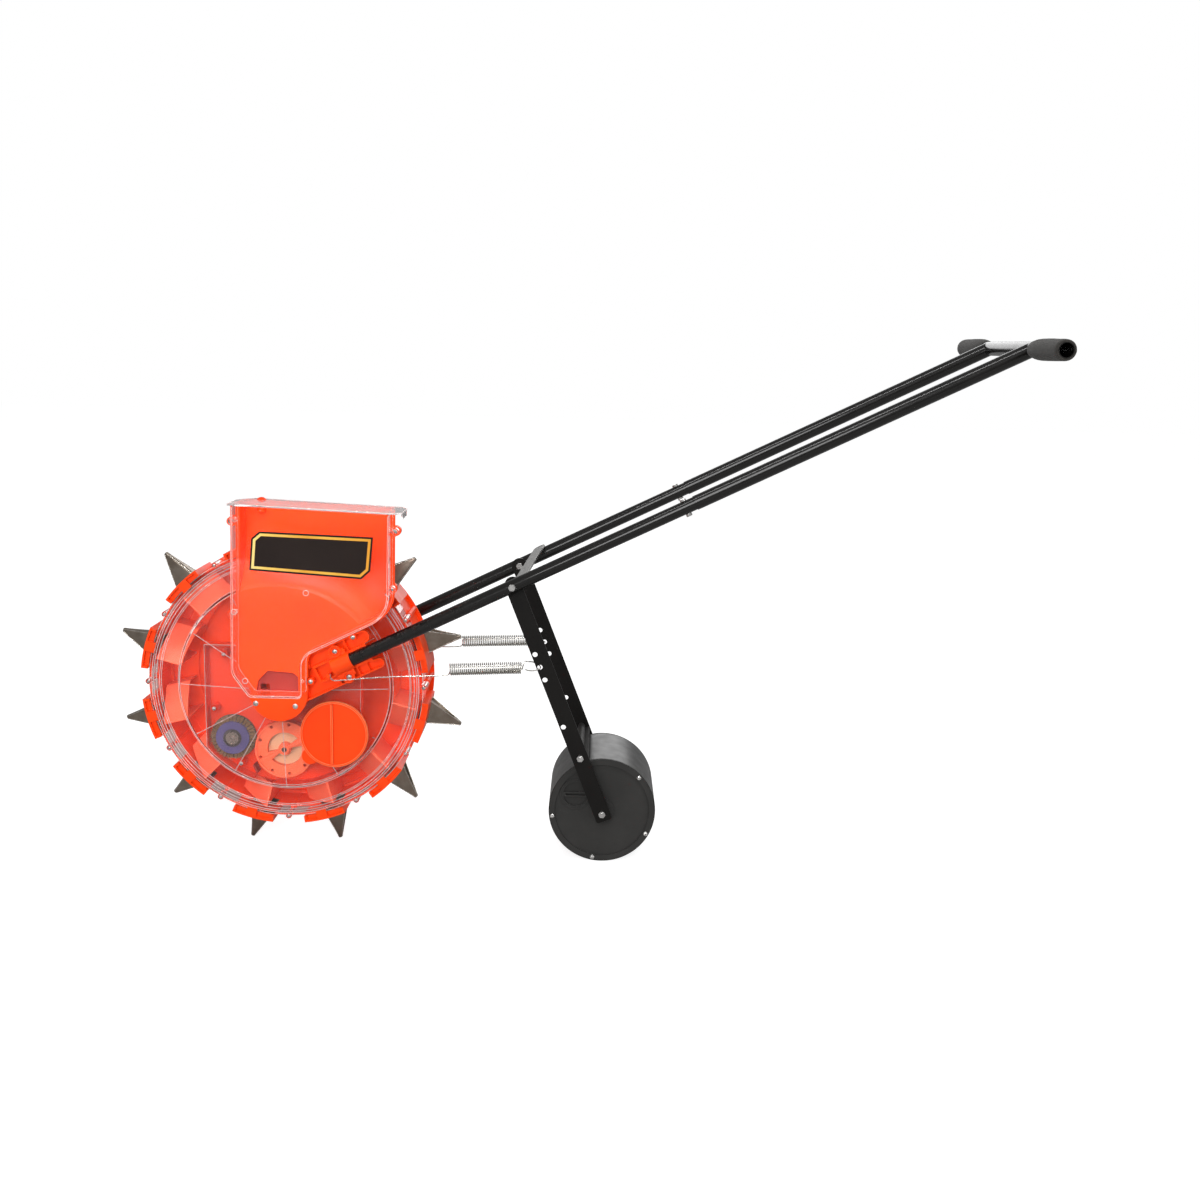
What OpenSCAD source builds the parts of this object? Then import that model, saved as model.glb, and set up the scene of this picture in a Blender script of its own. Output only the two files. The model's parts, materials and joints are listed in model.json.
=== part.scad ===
// Push seeder. A wheel of steel seed beaks rolls ahead of a long two-tube handle. A hopper on
// the wheel's near side feeds seed through the hollow hub to a metering disc inside the wheel,
// and a sprung press roller follows behind. All sizes are in millimetres.
//
// Parts are drawn about the wheel's axle, with +X towards the handle, +Y away from the hopper
// and +Z up. on_ground() then sets the machine down centred on the origin at ground level.

/* [Seed wheel] */
// Radius of the circle through the beak tips
tip_r = 277; // [276:0.5:279]
// Half of the rim's width
rim_half = 55; // [55:0.5:56]
// Radius of the seed outlet ring inside the rim
divider_r = 166; // [166:0.5:168]

/* [Handle] */
// Slope of the handle tubes
handle_angle = 26.27; // [26:0.05:27]
// Distance along the tubes from the axle to the handlebar
handle_len = 1222; // [1150:1:1260]
// Distance along the tubes from the axle to the bolted joint
joint_at = 691; // [660:1:720]
// Radius of the lower tubes
lower_tube_r = 10; // [9.5:0.1:10]
// Radius of the upper tubes and of the handlebar
upper_tube_r = 11; // [10.8:0.1:12]
// Half of the handlebar's length
bar_half = 252.5; // [230:1:270]
// Radius of the foam grips at their fullest
grip_r = 15.5; // [15:0.1:17]

/* [Press roller] */
// Distance along the tubes from the axle to the fork's pivot
pivot_at = 392.4; // [388:0.1:396]
// Length of the fork from its pivot to the roller's axle
fork_len = 385.4; // [380:0.1:390]
// Radius of the roller
roller_r = 83.4; // [82:0.1:84]
// Half of the roller's width
roller_half = 73; // [70:0.5:74]

/* [Hopper] */
// Distance of the hopper's front face from the wheel's mid plane
hopper_front_d = 140; // [136:1:150]
// Wall thickness of the clear hopper shell
hopper_wall = 2.4; // [2:0.1:2.6]

/* [Hidden] */
$fn = 96;

orange = "orangered";
clear = [0.95, 0.75, 0.72, 0.4];
steel = "silver";
black = [0.08, 0.08, 0.08];

// Wheel
beak_count = 12;
pitch = 360 / beak_count;
beak_phase = pitch / 2;
axle_z = tip_r * cos(pitch / 2);
axle_x = -(handle_len * cos(handle_angle) + grip_r - axle_z) / 2;
rim_r = 212.5;
rim_wall = 2.8;
boss_at = rim_r + 1;
shell_seam = -12;
holder_r = 223;
axle_r = 8;
journal_r = 34;
journal_bore_r = 30.5;
bearing_r = 40;
running_gap = 0.05;
beak_base_r = 209.6;
beak_shoulder_r = 221;
sheet = 1.3;
flap_hinge = [214.5, 25.2];
flap_pin_r = 1.5;

// Side brackets, as distances outward from the mid plane
bracket_back = 87;
bracket_rim = 98;
hub_face = 101.4;
hub_disc_r = 44;
cup_wall = 2.6;
edge_w = 2.2;
rib_w = 1.8;
clamp_at = 108;
// Outline of the arm in tube coordinates [u, v, corner radius], with a lobe at each end corner
arm_corners = [
    [0, -30, 1], [166, -30, 6.5], [166, -16, 6.5], [150, -14, 3],
    [150, 14, 3], [163.5, 15, 9], [163.5, 34, 9], [0, 34, 1]
];
bracket_screw_spots = [[106.3, 22], [108.3, -22]];
ear_spots = [[52.1, -4.1], [141, 30.5]];
hub_screw_spots = [[-35, -17], [25, -20]];
// Seed outlet in the hub's face [x, z, corner radius], and its gate with a slot [x, z]
window_corners = [
    [-33, 3.5, 1], [31, 3.5, 1], [30.5, 27, 3], [23.5, 33, 4], [-15, 35.5, 4], [-29.5, 20, 4]
];
window_ledge = 2;
gate_thick = 1.6;
gate_slot = [14, 8.5];
gate_slot_at = [-27, 5.7];
spring_anchor = [82, -7];
spring_pin_d = 106.5;

// Seed chamber
chamber_r = 161.5;
chamber_front = 53.5;
chamber_back = 31;
metering_at = 105;
metering_angle = -92.7;
metering_bar_angle = 27;
brush_dist = 82.5;
brush_dir = 168.2;
bristle_r = 35.5;
chamber_screw_spots = [[-95, 47], [-112, -40], [-72, -128]];
gear_module = 3;
drive_teeth = 40;
metering_teeth = 30;
brush_teeth = 25;
gear_near = -28;
gear_far = -20;
metering_pos = metering_at * [cos(metering_angle), sin(metering_angle)];
brush_pos = metering_pos + brush_dist * [cos(brush_dir), sin(brush_dir)];

// Access cap
cap_pos = [80, -68];
cap_r = 52;
cap_seat = 80;
cap_neck_r = 49;

// Handle
tube_half_gap = 97.6;
tube_splay = 0.008;
tube_start = 92;
lower_bore_r = lower_tube_r - 1.1;
upper_bore_r = upper_tube_r - 1.2;
swage_len = 50;
bar_x = handle_len * cos(handle_angle);
bar_z = handle_len * sin(handle_angle);

// Tie strap between the lower tubes, as [u, y, height over the tubes' plane]
tie_start = [411, -80, 5];
tie_end = [433, 101.2, lower_tube_r + 0.15];
tie_roll = atan2(tie_end[2] - tie_start[2], tie_end[1] - tie_start[1]);
tie_w = 19;
tie_thick = 3;

// Fork and roller
pivot = pivot_at * [cos(handle_angle), sin(handle_angle)];
roller_z = roller_r - axle_z;
fork_angle = acos((pivot[1] - roller_z) / fork_len);
roller_pos = [pivot[0] + fork_len * sin(fork_angle), roller_z];
arm_inner = 86.5;
arm_outer = 89.5;
arm_w = 25;
hole_row = [112, 133, 154.3, 233.8];
hole_offset = -7;
cross_at = 289;
coil_r = 9.3;
coil_start = [258, 98, 43];
coil_end = [368, 96, 48];
hook_r = 1.3;
fork_bolt_r = 3;
fork_nut_r = 5.5;
arm_top_r = 12.4;
arm_foot = 12;
arm_foot_r = 3.5;
arm_hole_r = 4;
roller_axle_r = 6;
spacer_r = 9;
roller_end = roller_half - 5;
filler_at = [-41.7, 25];
filler_r = 21.5;

// Hopper: corners [x, z, corner radius], anticlockwise from the top left
hopper_corners = [
    [-55.5, 289, 4], [-60.5, 38, 26], [-35, 2.5, 10], [42.5, 2.5, 5],
    [43, 65, 26], [173.5, 130.7, 48], [174.5, 281.5, 4]
];
hopper_slope = atan2(-7.5, 230);
lid_at = [-27, 70];
lid_pin_r = 2.5;
lid_reach = 219;
back_thick = 2;
bulge_d = 103.6;
bulge_r = 165;
bulge_width = 30;
hopper_back_d = 68;
flange_over = 3;
flange_thick = 2.5;
pan_wall = 2.4;
hopper_ear_spots = [[178.7, 252.9], [173, 166.3], [-61, 263], [-62.5, 124.4]];
ear_r = 7.5;
ear_thick = 10;
ear_boss_r = 6.4;

// Phases that put the train in mesh: a tooth of the first gear faces a gap of the next.
metering_phase = metering_angle + 180 + 180 / metering_teeth;
metering_lead = (brush_dir - metering_phase) % (360 / metering_teeth);
brush_phase = brush_dir + 180 + metering_lead * metering_teeth / brush_teeth
    + 180 / brush_teeth;

// Half profile of a wheel side as [radius, distance outward]: outer face hub to rim, and
// inner face rim to hub.
outer_face = [
    [46, 85.5], [46, 79.6], [60, 76.6], [110, 68], [150, 60.8], [162, 58.5], [165, 56.5],
    [166.5, 52.8], [192, 52.8], [194, 55], [208, 55], [208, 51], [212.5, 49]
];
inner_face = [
    [209.7, 47.4], [205.5, 49], [205.5, 52.5], [195, 52.5], [193, 50.3], [165, 50.3],
    [163.2, 54.6], [161, 56], [149.5, 58.3], [109.5, 65.5], [59.5, 74.1], [44, 77.2]
];

// Foam grips start beside the upper tubes
grip_inner = half_gap(handle_len) + upper_tube_r + 1;

// ---------------------------------------------------------------- helpers

module on_ground() {
    translate([axle_x, 0, axle_z]) children();
}

// Extrudes an outline drawn in the XZ plane from y0 to y1.
module along_y(y0, y1) {
    translate([0, y1, 0]) rotate([90, 0, 0]) linear_extrude(y1 - y0) children();
}

// Revolves a closed profile of [radius, y] points about the Y axis.
module turned(profile) {
    rotate([90, 0, 0]) rotate_extrude() polygon([for (p = profile) [p[0], -p[1]]]);
}

// Parts of the near side are drawn on the far side, outward from the mid plane, and mirrored.
module near_side() {
    mirror([0, 1, 0]) children();
}

module both_sides() {
    children();
    mirror([0, 1, 0]) children();
}

module ring_2d(outer, inner) {
    difference() {
        circle(outer);
        circle(inner);
    }
}

module slot_2d(p, q, r) {
    d = q - p;
    translate(p) circle(r);
    translate(q) circle(r);
    translate(p) rotate(atan2(d[1], d[0])) translate([0, -r]) square([norm(d), 2 * r]);
}

module rod(p, q, r) {
    d = q - p;
    translate(p) rotate([0, acos(d[2] / norm(d)), atan2(d[1], d[0])]) cylinder(h = norm(d), r = r);
}

// Pan-head screw along Y with its head's underside at y = 0 and its shank towards -Y.
module pan_screw(head_r, shank_r, shank_len) {
    head_h = head_r * 0.62;
    ball_r = head_r * 1.25;
    difference() {
        intersection() {
            along_y(0, head_h) circle(head_r);
            translate([0, head_h - ball_r, 0]) sphere(ball_r);
        }
        for (turn = [0, 90])
            rotate([0, turn, 0]) translate([-head_r * 0.55, head_h * 0.45, -head_r * 0.13])
                cube([head_r * 1.1, head_h, head_r * 0.26]);
    }
    if (shank_len > 0)
        along_y(-shank_len, 0) circle(shank_r);
}

module at_xz(p, y) {
    translate([p[0], y, p[1]]) children();
}

function unit(v) = v / norm(v);
function flat(p) = [p[0], p[1]];
function before(list, i) = list[(i + len(list) - 1) % len(list)];
function after(list, i) = list[(i + 1) % len(list)];
function turn_of(p, c, n) = (c[0] - p[0]) * (n[1] - c[1]) - (c[1] - p[1]) * (n[0] - c[0]);
function half_corner(p, c, n) = acos(unit(flat(p) - flat(c)) * unit(flat(n) - flat(c))) / 2;
function bisector(p, c, n) = unit(unit(flat(p) - flat(c)) + unit(flat(n) - flat(c)));

// Arc that rounds corner c between its neighbours p and n.
function corner_arc(p, c, n, steps = 8) =
    let (half = half_corner(p, c, n),
         centre = flat(c) + bisector(p, c, n) * c[2] / sin(half),
         from_c = flat(c) + unit(flat(p) - flat(c)) * c[2] / tan(half) - centre,
         a0 = atan2(from_c[1], from_c[0]),
         sweep = (180 - 2 * half) * sign(turn_of(p, c, n)))
    [for (k = [0:steps]) centre + c[2] * [cos(a0 + sweep * k / steps), sin(a0 + sweep * k / steps)]];

function rounded(corners) = [
    for (i = [0:len(corners) - 1])
        each corner_arc(before(corners, i), corners[i], after(corners, i))
];

// Moves every edge of an anticlockwise outline inwards by d and fits the corner radii to it.
function inset(corners, d) = [
    for (i = [0:len(corners) - 1])
        let (p = before(corners, i), c = corners[i], n = after(corners, i),
             way = sign(turn_of(p, c, n)),
             q = flat(c) + bisector(p, c, n) * way * d / sin(half_corner(p, c, n)))
        [q[0], q[1], max(0.5, c[2] - way * d)]
];

// Involute gear outline with a tooth centred on +X.
function inv(a) = tan(a) * 180 / PI - a;
function tooth_half(teeth, r) =
    let (rp = teeth * gear_module / 2, rb = rp * cos(20), rr = max(r, rb + 0.01))
    (90 / teeth) * 0.94 + inv(20) - inv(acos(rb / rr));
function polar(r, a) = r * [cos(a), sin(a)];
function gear_points(teeth) =
    let (rp = teeth * gear_module / 2, root = rp - 1.2 * gear_module, tip = rp + 0.9 * gear_module,
         rb = rp * cos(20),
         flank = [for (k = [0:4]) max(rb, root) + (tip - max(rb, root)) * k / 4])
    [for (i = [0:teeth - 1], side = [-1, 1], k = [0:5])
        let (mid = i * 360 / teeth, step = side < 0 ? k : 5 - k,
             r = step == 0 ? root : flank[step - 1],
             spread = step == 0 ? tooth_half(teeth, flank[0]) + 0.3 : tooth_half(teeth, r))
        polar(r, mid + side * spread)];

module gear_2d(teeth, phase) {
    rotate(phase) polygon(gear_points(teeth));
}

// A copy at each beak, turned so that the beak's tip lies on local +X.
module at_beak(i) {
    rotate([0, -(beak_phase + i * pitch), 0]) children();
}

// Beaks stand at odd multiples of half a pitch, so that two of them rest on the ground.
module each_beak() {
    for (i = [0:beak_count - 1]) at_beak(i) children();
}

// Tube coordinates: u runs up the handle from abeam of the axle, v square to it.
module tube_plane() {
    rotate([0, -handle_angle, 0]) children();
}

function half_gap(u) = tube_half_gap + tube_splay * u;
function tube_point(u, side) =
    [u * cos(handle_angle), side * half_gap(u), u * sin(handle_angle)];

// Fork coordinates: x runs down the arm from the pivot and y points to the rear.
module fork_plane() {
    at_xz(pivot, 0) rotate([0, 90 - fork_angle, 0]) children();
}

// ---------------------------------------------------------------- side brackets

module arm_2d(grow = 0) {
    polygon(rounded(inset(arm_corners, -grow)));
}

module side_bracket(journal_end) {
    tube_d = half_gap(clamp_at);
    floor_d = bracket_back + 3;
    difference() {
        union() {
            // Arm: a tray with ribs across it, a saddle block and screw posts
            tube_plane() difference() {
                along_y(bracket_back, bracket_rim) arm_2d();
                along_y(floor_d, bracket_rim + 1) arm_2d(-edge_w);
            }
            tube_plane() along_y(floor_d - 1, bracket_rim) {
                for (u = [124, 140]) translate([u, -29]) square([rib_w, 16]);
                for (u = [58, 124]) translate([u, 13]) square([rib_w, 20]);
                translate([92, -29]) square([rib_w, 16]);
                translate([64, -14]) square([88, 28]);
                for (s = bracket_screw_spots) translate(s) circle(6);
            }
            tube_plane() along_y(floor_d - 1, hub_face)
                for (s = ear_spots) translate(s) circle(5.5);
            // Hub cup
            along_y(bracket_back - 0.4, hub_face) circle(hub_disc_r);
        }
        along_y(bracket_back - 1, bracket_rim - 1) circle(hub_disc_r - cup_wall);
        // Square pocket and the trough for the tube
        tube_plane() along_y(floor_d, bracket_rim + 1) translate([67, -11]) square([21, 22]);
        rod([0, tube_d, 0] + tube_point_flat(tube_start - 0.2),
            [0, tube_d, 0] + tube_point_flat(170), lower_tube_r + 0.3);
        tube_plane() along_y(bracket_rim - 8, hub_face + 1)
            for (s = concat(bracket_screw_spots, ear_spots)) translate(s) circle(2.1);
        for (s = hub_screw_spots)
            at_xz(s, 0) along_y(hub_face - 2.5, hub_face + 1) circle(2.1);
    }
    // Journal on which the wheel's hub turns, the axle's boss and the spring's anchor pin
    along_y(journal_end, bracket_rim) ring_2d(journal_r, journal_bore_r);
    along_y(bracket_rim - 9, bracket_rim) ring_2d(13, axle_r + running_gap);
    tube_plane() along_y(floor_d - 1, spring_pin_d + hook_r + 0.5) translate(spring_anchor) circle(3);
}

function tube_point_flat(u) = [u * cos(handle_angle), 0, u * sin(handle_angle)];

// Seed outlet in the upper half of the hub's face, moved inwards by d.
module seed_window_2d(d = 0) {
    polygon(rounded(inset(window_corners, d)));
}

module near_bracket() on_ground() color(orange) near_side() {
    difference() {
        side_bracket(chamber_front - 2.4);
        along_y(bracket_rim, hub_face + 1) seed_window_2d();
        along_y(bracket_rim - 1.5, bracket_rim + 1) seed_window_2d(window_ledge);
    }
}

module far_bracket() on_ground() color(orange) side_bracket(72);

module tube_clamp() {
    tube_d = half_gap(clamp_at);
    difference() {
        tube_plane() union() {
            along_y(bracket_rim, bracket_rim + 2.6) {
                for (s = bracket_screw_spots) translate(s) circle(9.5);
                translate([94.5, -22]) square([26, 44]);
            }
            intersection() {
                translate([93, tube_d, 0]) rotate([0, 90, 0]) cylinder(h = 30.5, r = 13.2);
                translate([90, bracket_rim, -20]) cube([40, 20, 40]);
            }
            for (s = bracket_screw_spots)
                along_y(bracket_rim, bracket_rim + 5) translate(s) ring_2d(9.5, 7.3);
        }
        rod([0, tube_d, 0] + tube_point_flat(80), [0, tube_d, 0] + tube_point_flat(140),
            lower_tube_r + 0.3);
        for (s = bracket_screw_spots)
            tube_plane() along_y(bracket_rim - 1, bracket_rim + 9) translate(s) circle(2.1);
        for (s = bracket_screw_spots)
            tube_plane() along_y(bracket_rim + 2.6, bracket_rim + 9) translate(s) circle(5.2);
    }
}

module tube_clamps() on_ground() color(orange) both_sides() tube_clamp();

module axle_rod() on_ground() color(steel) {
    along_y(1.05 - bracket_rim, bracket_rim - 1.05) circle(axle_r);
}

// ---------------------------------------------------------------- handle

module lower_tube(side) {
    difference() {
        rod(tube_point(tube_start, side), tube_point(joint_at, side), lower_tube_r);
        rod(tube_point(tube_start - 1, side), tube_point(joint_at + 1, side), lower_bore_r);
        at_xz(pivot, 0) along_y(-130, 130) circle(fork_bolt_r);
        joint_bolt_axis(side, 2.6);
    }
}

module joint_bolt_axis(side, r) {
    p = tube_point(joint_at - 15, side);
    square_to_tube = [-sin(handle_angle), 0, cos(handle_angle)];
    rod(p - 25 * square_to_tube, p + 25 * square_to_tube, r);
}

module upper_tube(side) {
    difference() {
        union() {
            rod(tube_point(joint_at, side), tube_point(handle_len, side), upper_tube_r);
            rod(tube_point(joint_at - swage_len, side), tube_point(joint_at + 1, side),
                lower_bore_r - 0.05);
        }
        rod(tube_point(joint_at - swage_len - 1, side), tube_point(handle_len, side),
            lower_bore_r - 1.2);
        rod(tube_point(joint_at + 3, side), tube_point(handle_len, side), upper_bore_r);
        translate([bar_x, 0, bar_z]) along_y(-bar_half, bar_half) circle(upper_tube_r);
        joint_bolt_axis(side, 2.6);
    }
}

module lower_tube_near() on_ground() color(black) lower_tube(-1);
module lower_tube_far() on_ground() color(black) lower_tube(1);
module upper_tube_near() on_ground() color(black) upper_tube(-1);
module upper_tube_far() on_ground() color(black) upper_tube(1);

module handlebar() on_ground() color(black) at_xz([bar_x, bar_z], 0) {
    along_y(-bar_half, bar_half) ring_2d(upper_tube_r, upper_bore_r);
}

// Foam grip: full in the middle, necked towards the tube and rounded at the open end.
module grip() {
    span = bar_half - grip_inner;
    points = 16;
    outer = [for (k = [0:points])
        let (t = k / points, neck = min(1, t / 0.18), tail = min(1, (1 - t) / 0.08))
        [upper_tube_r + 0.05 + (grip_r - upper_tube_r)
            * (0.55 + 0.45 * sin(90 * neck)) * (0.6 + 0.4 * sin(90 * tail))
            * (0.93 + 0.07 * sin(180 * t)), grip_inner + span * t]];
    bore_r = upper_tube_r + 0.05;
    at_xz([bar_x, bar_z], 0) turned(concat(outer, [[bore_r, bar_half], [bore_r, grip_inner]]));
}

module grip_near() on_ground() color("dimgray") near_side() grip();
module grip_far() on_ground() color("dimgray") grip();

// The tie starts on the inner side of the near tube and ends on top of the far one.
module tie_strap() on_ground() color(steel) tube_plane() {
    span = tie_end - tie_start;
    length = norm(span);
    translate(tie_start) rotate([tie_roll, 0, atan2(-span[0], span[1])]) linear_extrude(tie_thick)
        difference() {
            slot_2d([0, 0], [0, length], tie_w / 2);
            translate([0, length]) circle(2.6);
        }
}

// Bolt head, washer and nut on a joint bolt square to the tube.
module joint_bolt(u, side, top, below) {
    p = tube_point(u, side);
    translate(p) rotate([0, -handle_angle, 0]) {
        translate([0, 0, -below]) cylinder(h = top + below, r = 2.5);
        translate([0, 0, top]) cylinder(h = 3.4, r = 4.6);
        translate([0, 0, -below - 4]) cylinder(h = 4, r = 4.6, $fn = 6);
    }
}

module pivot_bolt() {
    outer = half_gap(pivot_at) + lower_tube_r;
    at_xz(pivot, 0) {
        along_y(arm_inner - 5, outer + 1) circle(fork_bolt_r - 0.02);
        along_y(outer + 0.5, outer + 4.5) circle(fork_nut_r, $fn = 6);
        along_y(arm_inner - 5.5, arm_inner - 0.1) circle(fork_nut_r, $fn = 6);
        along_y(arm_outer + 0.15, outer - 2 * lower_tube_r - 0.1) circle(8);
    }
}

module handle_bolts() on_ground() color(steel) {
    for (side = [-1, 1])
        joint_bolt(joint_at - 15, side, lower_tube_r + 0.05, lower_tube_r + 0.05);
    both_sides() pivot_bolt();
}

module bracket_screws() on_ground() color(steel) {
    both_sides() {
        for (s = bracket_screw_spots)
            tube_plane() at_xz(s, bracket_rim + 2.65) pan_screw(4.2, 2, 10);
        for (s = hub_screw_spots) at_xz(s, hub_face + 0.05) pan_screw(4.2, 2, 2.4);
        for (s = ear_spots) tube_plane() at_xz(s, hub_face + 0.05) pan_screw(3.6, 2, 9);
    }
}

// ---------------------------------------------------------------- seed chamber

module chamber_2d(grow = 0) {
    intersection() {
        circle(chamber_r + grow);
        translate([-125 - grow, -170]) square([241 + 2 * grow, 232 + grow]);
    }
}

module chamber_posts_2d() {
    for (s = chamber_screw_spots) translate(s) circle(6);
}

// Back wall, side wall and screw posts, hanging on the near journal.
module chamber_body() on_ground() color(orange) near_side() {
    wall_top = chamber_front - 2.2;
    difference() {
        union() {
            along_y(chamber_back, chamber_back + 2.2) chamber_2d();
            along_y(chamber_back, wall_top) difference() {
                chamber_2d();
                chamber_2d(-2.4);
            }
            along_y(chamber_back, wall_top) intersection() {
                chamber_posts_2d();
                chamber_2d();
            }
        }
        along_y(chamber_back - 1, chamber_back + 4) circle(axle_r + 4);
        for (p = [metering_pos, brush_pos])
            at_xz(p, 0) along_y(chamber_back - 1, chamber_back + 4) circle(4 + running_gap);
        for (s = chamber_screw_spots)
            at_xz(s, 0) along_y(wall_top - 12, wall_top + 1) circle(1.9);
        // Drop slot over the dividers at the bottom of the chamber
        along_y(chamber_back + 2.3, wall_top + 1) rotate(-103) translate([140, -16]) square([30, 32]);
    }
}

module chamber_cover() on_ground() color(clear) near_side() difference() {
    along_y(chamber_front - 2.2, chamber_front) chamber_2d();
    along_y(chamber_front - 3, chamber_front + 1) circle(journal_r + 0.05);
    for (s = chamber_screw_spots)
        at_xz(s, 0) along_y(chamber_front - 3, chamber_front + 1) circle(2.1);
}

module chamber_screws() on_ground() color(steel) near_side() {
    for (s = chamber_screw_spots) at_xz(s, chamber_front + 0.02) scale(0.55) pan_screw(5.5, 3, 16);
}

// Soft strip that wipes the metering disc, and the soft gate in the hub's seed outlet.
module seed_wiper() on_ground() color("firebrick") near_side() {
    along_y(chamber_back + 2.3, chamber_front - 2.3)
        translate([-50, -137]) rotate(25) square([3, 14], center = true);
    along_y(bracket_rim + 0.02, bracket_rim + gate_thick) difference() {
        seed_window_2d(0.15);
        translate(gate_slot_at) square(gate_slot);
    }
}

module metering_2d() {
    difference() {
        circle(46);
        for (turn = [90, 270]) rotate(metering_bar_angle + turn) intersection() {
            ring_2d(27, 10);
            polygon([[0, 0], polar(60, -76), polar(80, 0), polar(60, 76)]);
        }
        for (k = [0:8]) rotate(k * 40) translate([40.5, 0]) circle(2.6);
    }
}

module metering_disc() on_ground() color(orange) near_side() at_xz(metering_pos, 0) {
    difference() {
        union() {
            along_y(37, 46) metering_2d();
            along_y(46, 49) ring_2d(46, 43.5);
            along_y(46, 49.5) rotate(metering_bar_angle) difference() {
                translate([-43.5, -2]) square([87, 4]);
                circle(7);
            }
            along_y(46, 50) ring_2d(8, 4.05);
        }
        along_y(36, 51) circle(4.05);
    }
}

module metering_gear() on_ground() color([0.2, 0.2, 0.2]) near_side() at_xz(metering_pos, 0) {
    along_y(-gear_far, -gear_near) gear_2d(metering_teeth, metering_phase);
    along_y(-gear_near, 50) circle(4);
}

module brush_bristles() on_ground() color("sienna") near_side() at_xz(brush_pos, 0) {
    along_y(38, 47) ring_2d(bristle_r, 26.1);
}

module brush_core() on_ground() color("slateblue") near_side() at_xz(brush_pos, 0) {
    along_y(36.5, 48.5) ring_2d(26, 14.05);
}

module brush_gear() on_ground() color("gray") near_side() at_xz(brush_pos, 0) {
    along_y(-gear_far, -gear_near) gear_2d(brush_teeth, brush_phase);
    along_y(-gear_near, 36) circle(4);
    along_y(35.5, 50) circle(14);
}

// ---------------------------------------------------------------- hopper

// Depth of the back panel's face: flat over the wheel's hub, falling away smoothly above it.
function back_d(r) = bulge_d
    - (bulge_d - hopper_back_d) * (1 - exp(-pow(max(0, r - bulge_r) / bulge_width, 1.5)));

// Everything behind the back panel's face, moved outward by d.
module behind_back(d) {
    steps = [for (r = [bulge_r:5:250]) [r, back_d(r) + d]];
    turned(concat([[0, 0], [0, bulge_d + d]], steps, [[420, hopper_back_d + d], [420, 0]]));
}

// The hopper's outline moved inwards and left open at the top.
module hopper_2d(d) {
    left = hopper_corners[0][0] + d;
    right = hopper_corners[6][0] - d;
    polygon(rounded(inset(hopper_corners, d)));
    translate([left, 255]) square([right - left, 60]);
}

module above_lid() {
    lid_plane() translate([-80, -90, 0]) cube([300, 180, 60]);
}

// Orange back pan with its flange, screw ears and the post for the lid's pivot.
module hopper_back() on_ground() color(orange) near_side() {
    difference() {
        union() {
            difference() {
                union() {
                    along_y(hopper_back_d - back_thick, bulge_d) hopper_2d(2);
                    along_y(bulge_d - flange_thick, bulge_d) hopper_2d(-flange_over);
                }
                difference() {
                    along_y(50, bulge_d + 1) hopper_2d(2 + pan_wall);
                    behind_back(0);
                }
            }
            for (s = hopper_ear_spots) at_xz(s, 0) along_y(bulge_d - ear_thick, bulge_d) circle(ear_r);
            lid_plane() translate([0, 0, -16]) cylinder(h = 16, r = 6.5);
        }
        behind_back(-back_thick);
        along_y(95, 110) seed_window_2d();
        for (s = hopper_ear_spots)
            at_xz(s, 0) along_y(bulge_d - ear_thick - 1, bulge_d + 1) circle(2.1);
        tube_plane() along_y(60, 110) translate(ear_spots[0]) circle(7.2);
        above_lid();
        lid_plane() translate([0, 0, -12]) cylinder(h = 20, r = lid_pin_r);
    }
}

// Clear shell: front, side and bottom walls, with a tubular boss in front of each ear.
module hopper_front() on_ground() color(clear) near_side() {
    foot = bulge_d + 0.02;
    difference() {
        union() {
            along_y(foot, hopper_front_d) hopper_2d(0);
            for (s = hopper_ear_spots) at_xz(s, 0) along_y(foot, foot + 14) circle(ear_boss_r);
        }
        for (s = hopper_ear_spots) at_xz(s, 0) along_y(foot - 1, foot + 15) circle(4.6);
        along_y(foot - 1, hopper_front_d - hopper_wall) difference() {
            hopper_2d(hopper_wall);
            for (s = hopper_ear_spots) translate(s) circle(ear_boss_r);
        }
        above_lid();
        tube_plane() along_y(60, 110) translate(ear_spots[0]) circle(7.2);
    }
}

module hopper_screws() on_ground() color(steel) near_side() {
    for (s = hopper_ear_spots) at_xz(s, bulge_d + 0.03) pan_screw(4, 2, 9);
}

module hopper_label() on_ground() color([0.1, 0.09, 0.08]) near_side() {
    along_y(hopper_front_d + 0.03, hopper_front_d + 0.7)
        polygon([[-14, 252.5], [-26, 242], [-30, 195], [133.5, 185.7], [146.5, 197.8], [151, 248]]);
}

// The lid lies on the hopper's rim and swings sideways about an upright pivot.
module lid_plane() {
    top_z = 289 + (lid_at[0] + 58) * tan(hopper_slope);
    translate([lid_at[0], lid_at[1], top_z]) rotate([0, -hopper_slope, 0]) children();
}

// Pin with a round button that the lid turns on.
module lid_pivot() on_ground() color(orange) near_side() lid_plane() {
    translate([0, 0, -11.9]) cylinder(h = 15, r = lid_pin_r - 0.04);
    translate([0, 0, 2.85]) intersection() {
        cylinder(h = 4, r = 7);
        translate([0, 0, -6]) sphere(r = 9.5);
    }
}

module hopper_lid() on_ground() color(clear) near_side() lid_plane() {
    back = hopper_back_d - lid_at[1] - 2;
    front = hopper_front_d - lid_at[1] + 2;
    difference() {
        union() {
            translate([0, 0, 0.3]) linear_extrude(2.4) polygon([[-30, back + 20], [-10, back - 7],
                [lid_reach - 10, back], [lid_reach, back + 12], [lid_reach, front - 14],
                [lid_reach - 14, front], [-33, front], [-33, back + 24]]);
            // Turned-down finger lip
            translate([lid_reach - 2.4, 12, -8]) cube([2.4, front - 30, 8.5]);
        }
        translate([0, 0, -1]) cylinder(h = 10, r = lid_pin_r + running_gap);
    }
}

// ---------------------------------------------------------------- seed wheel

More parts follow.
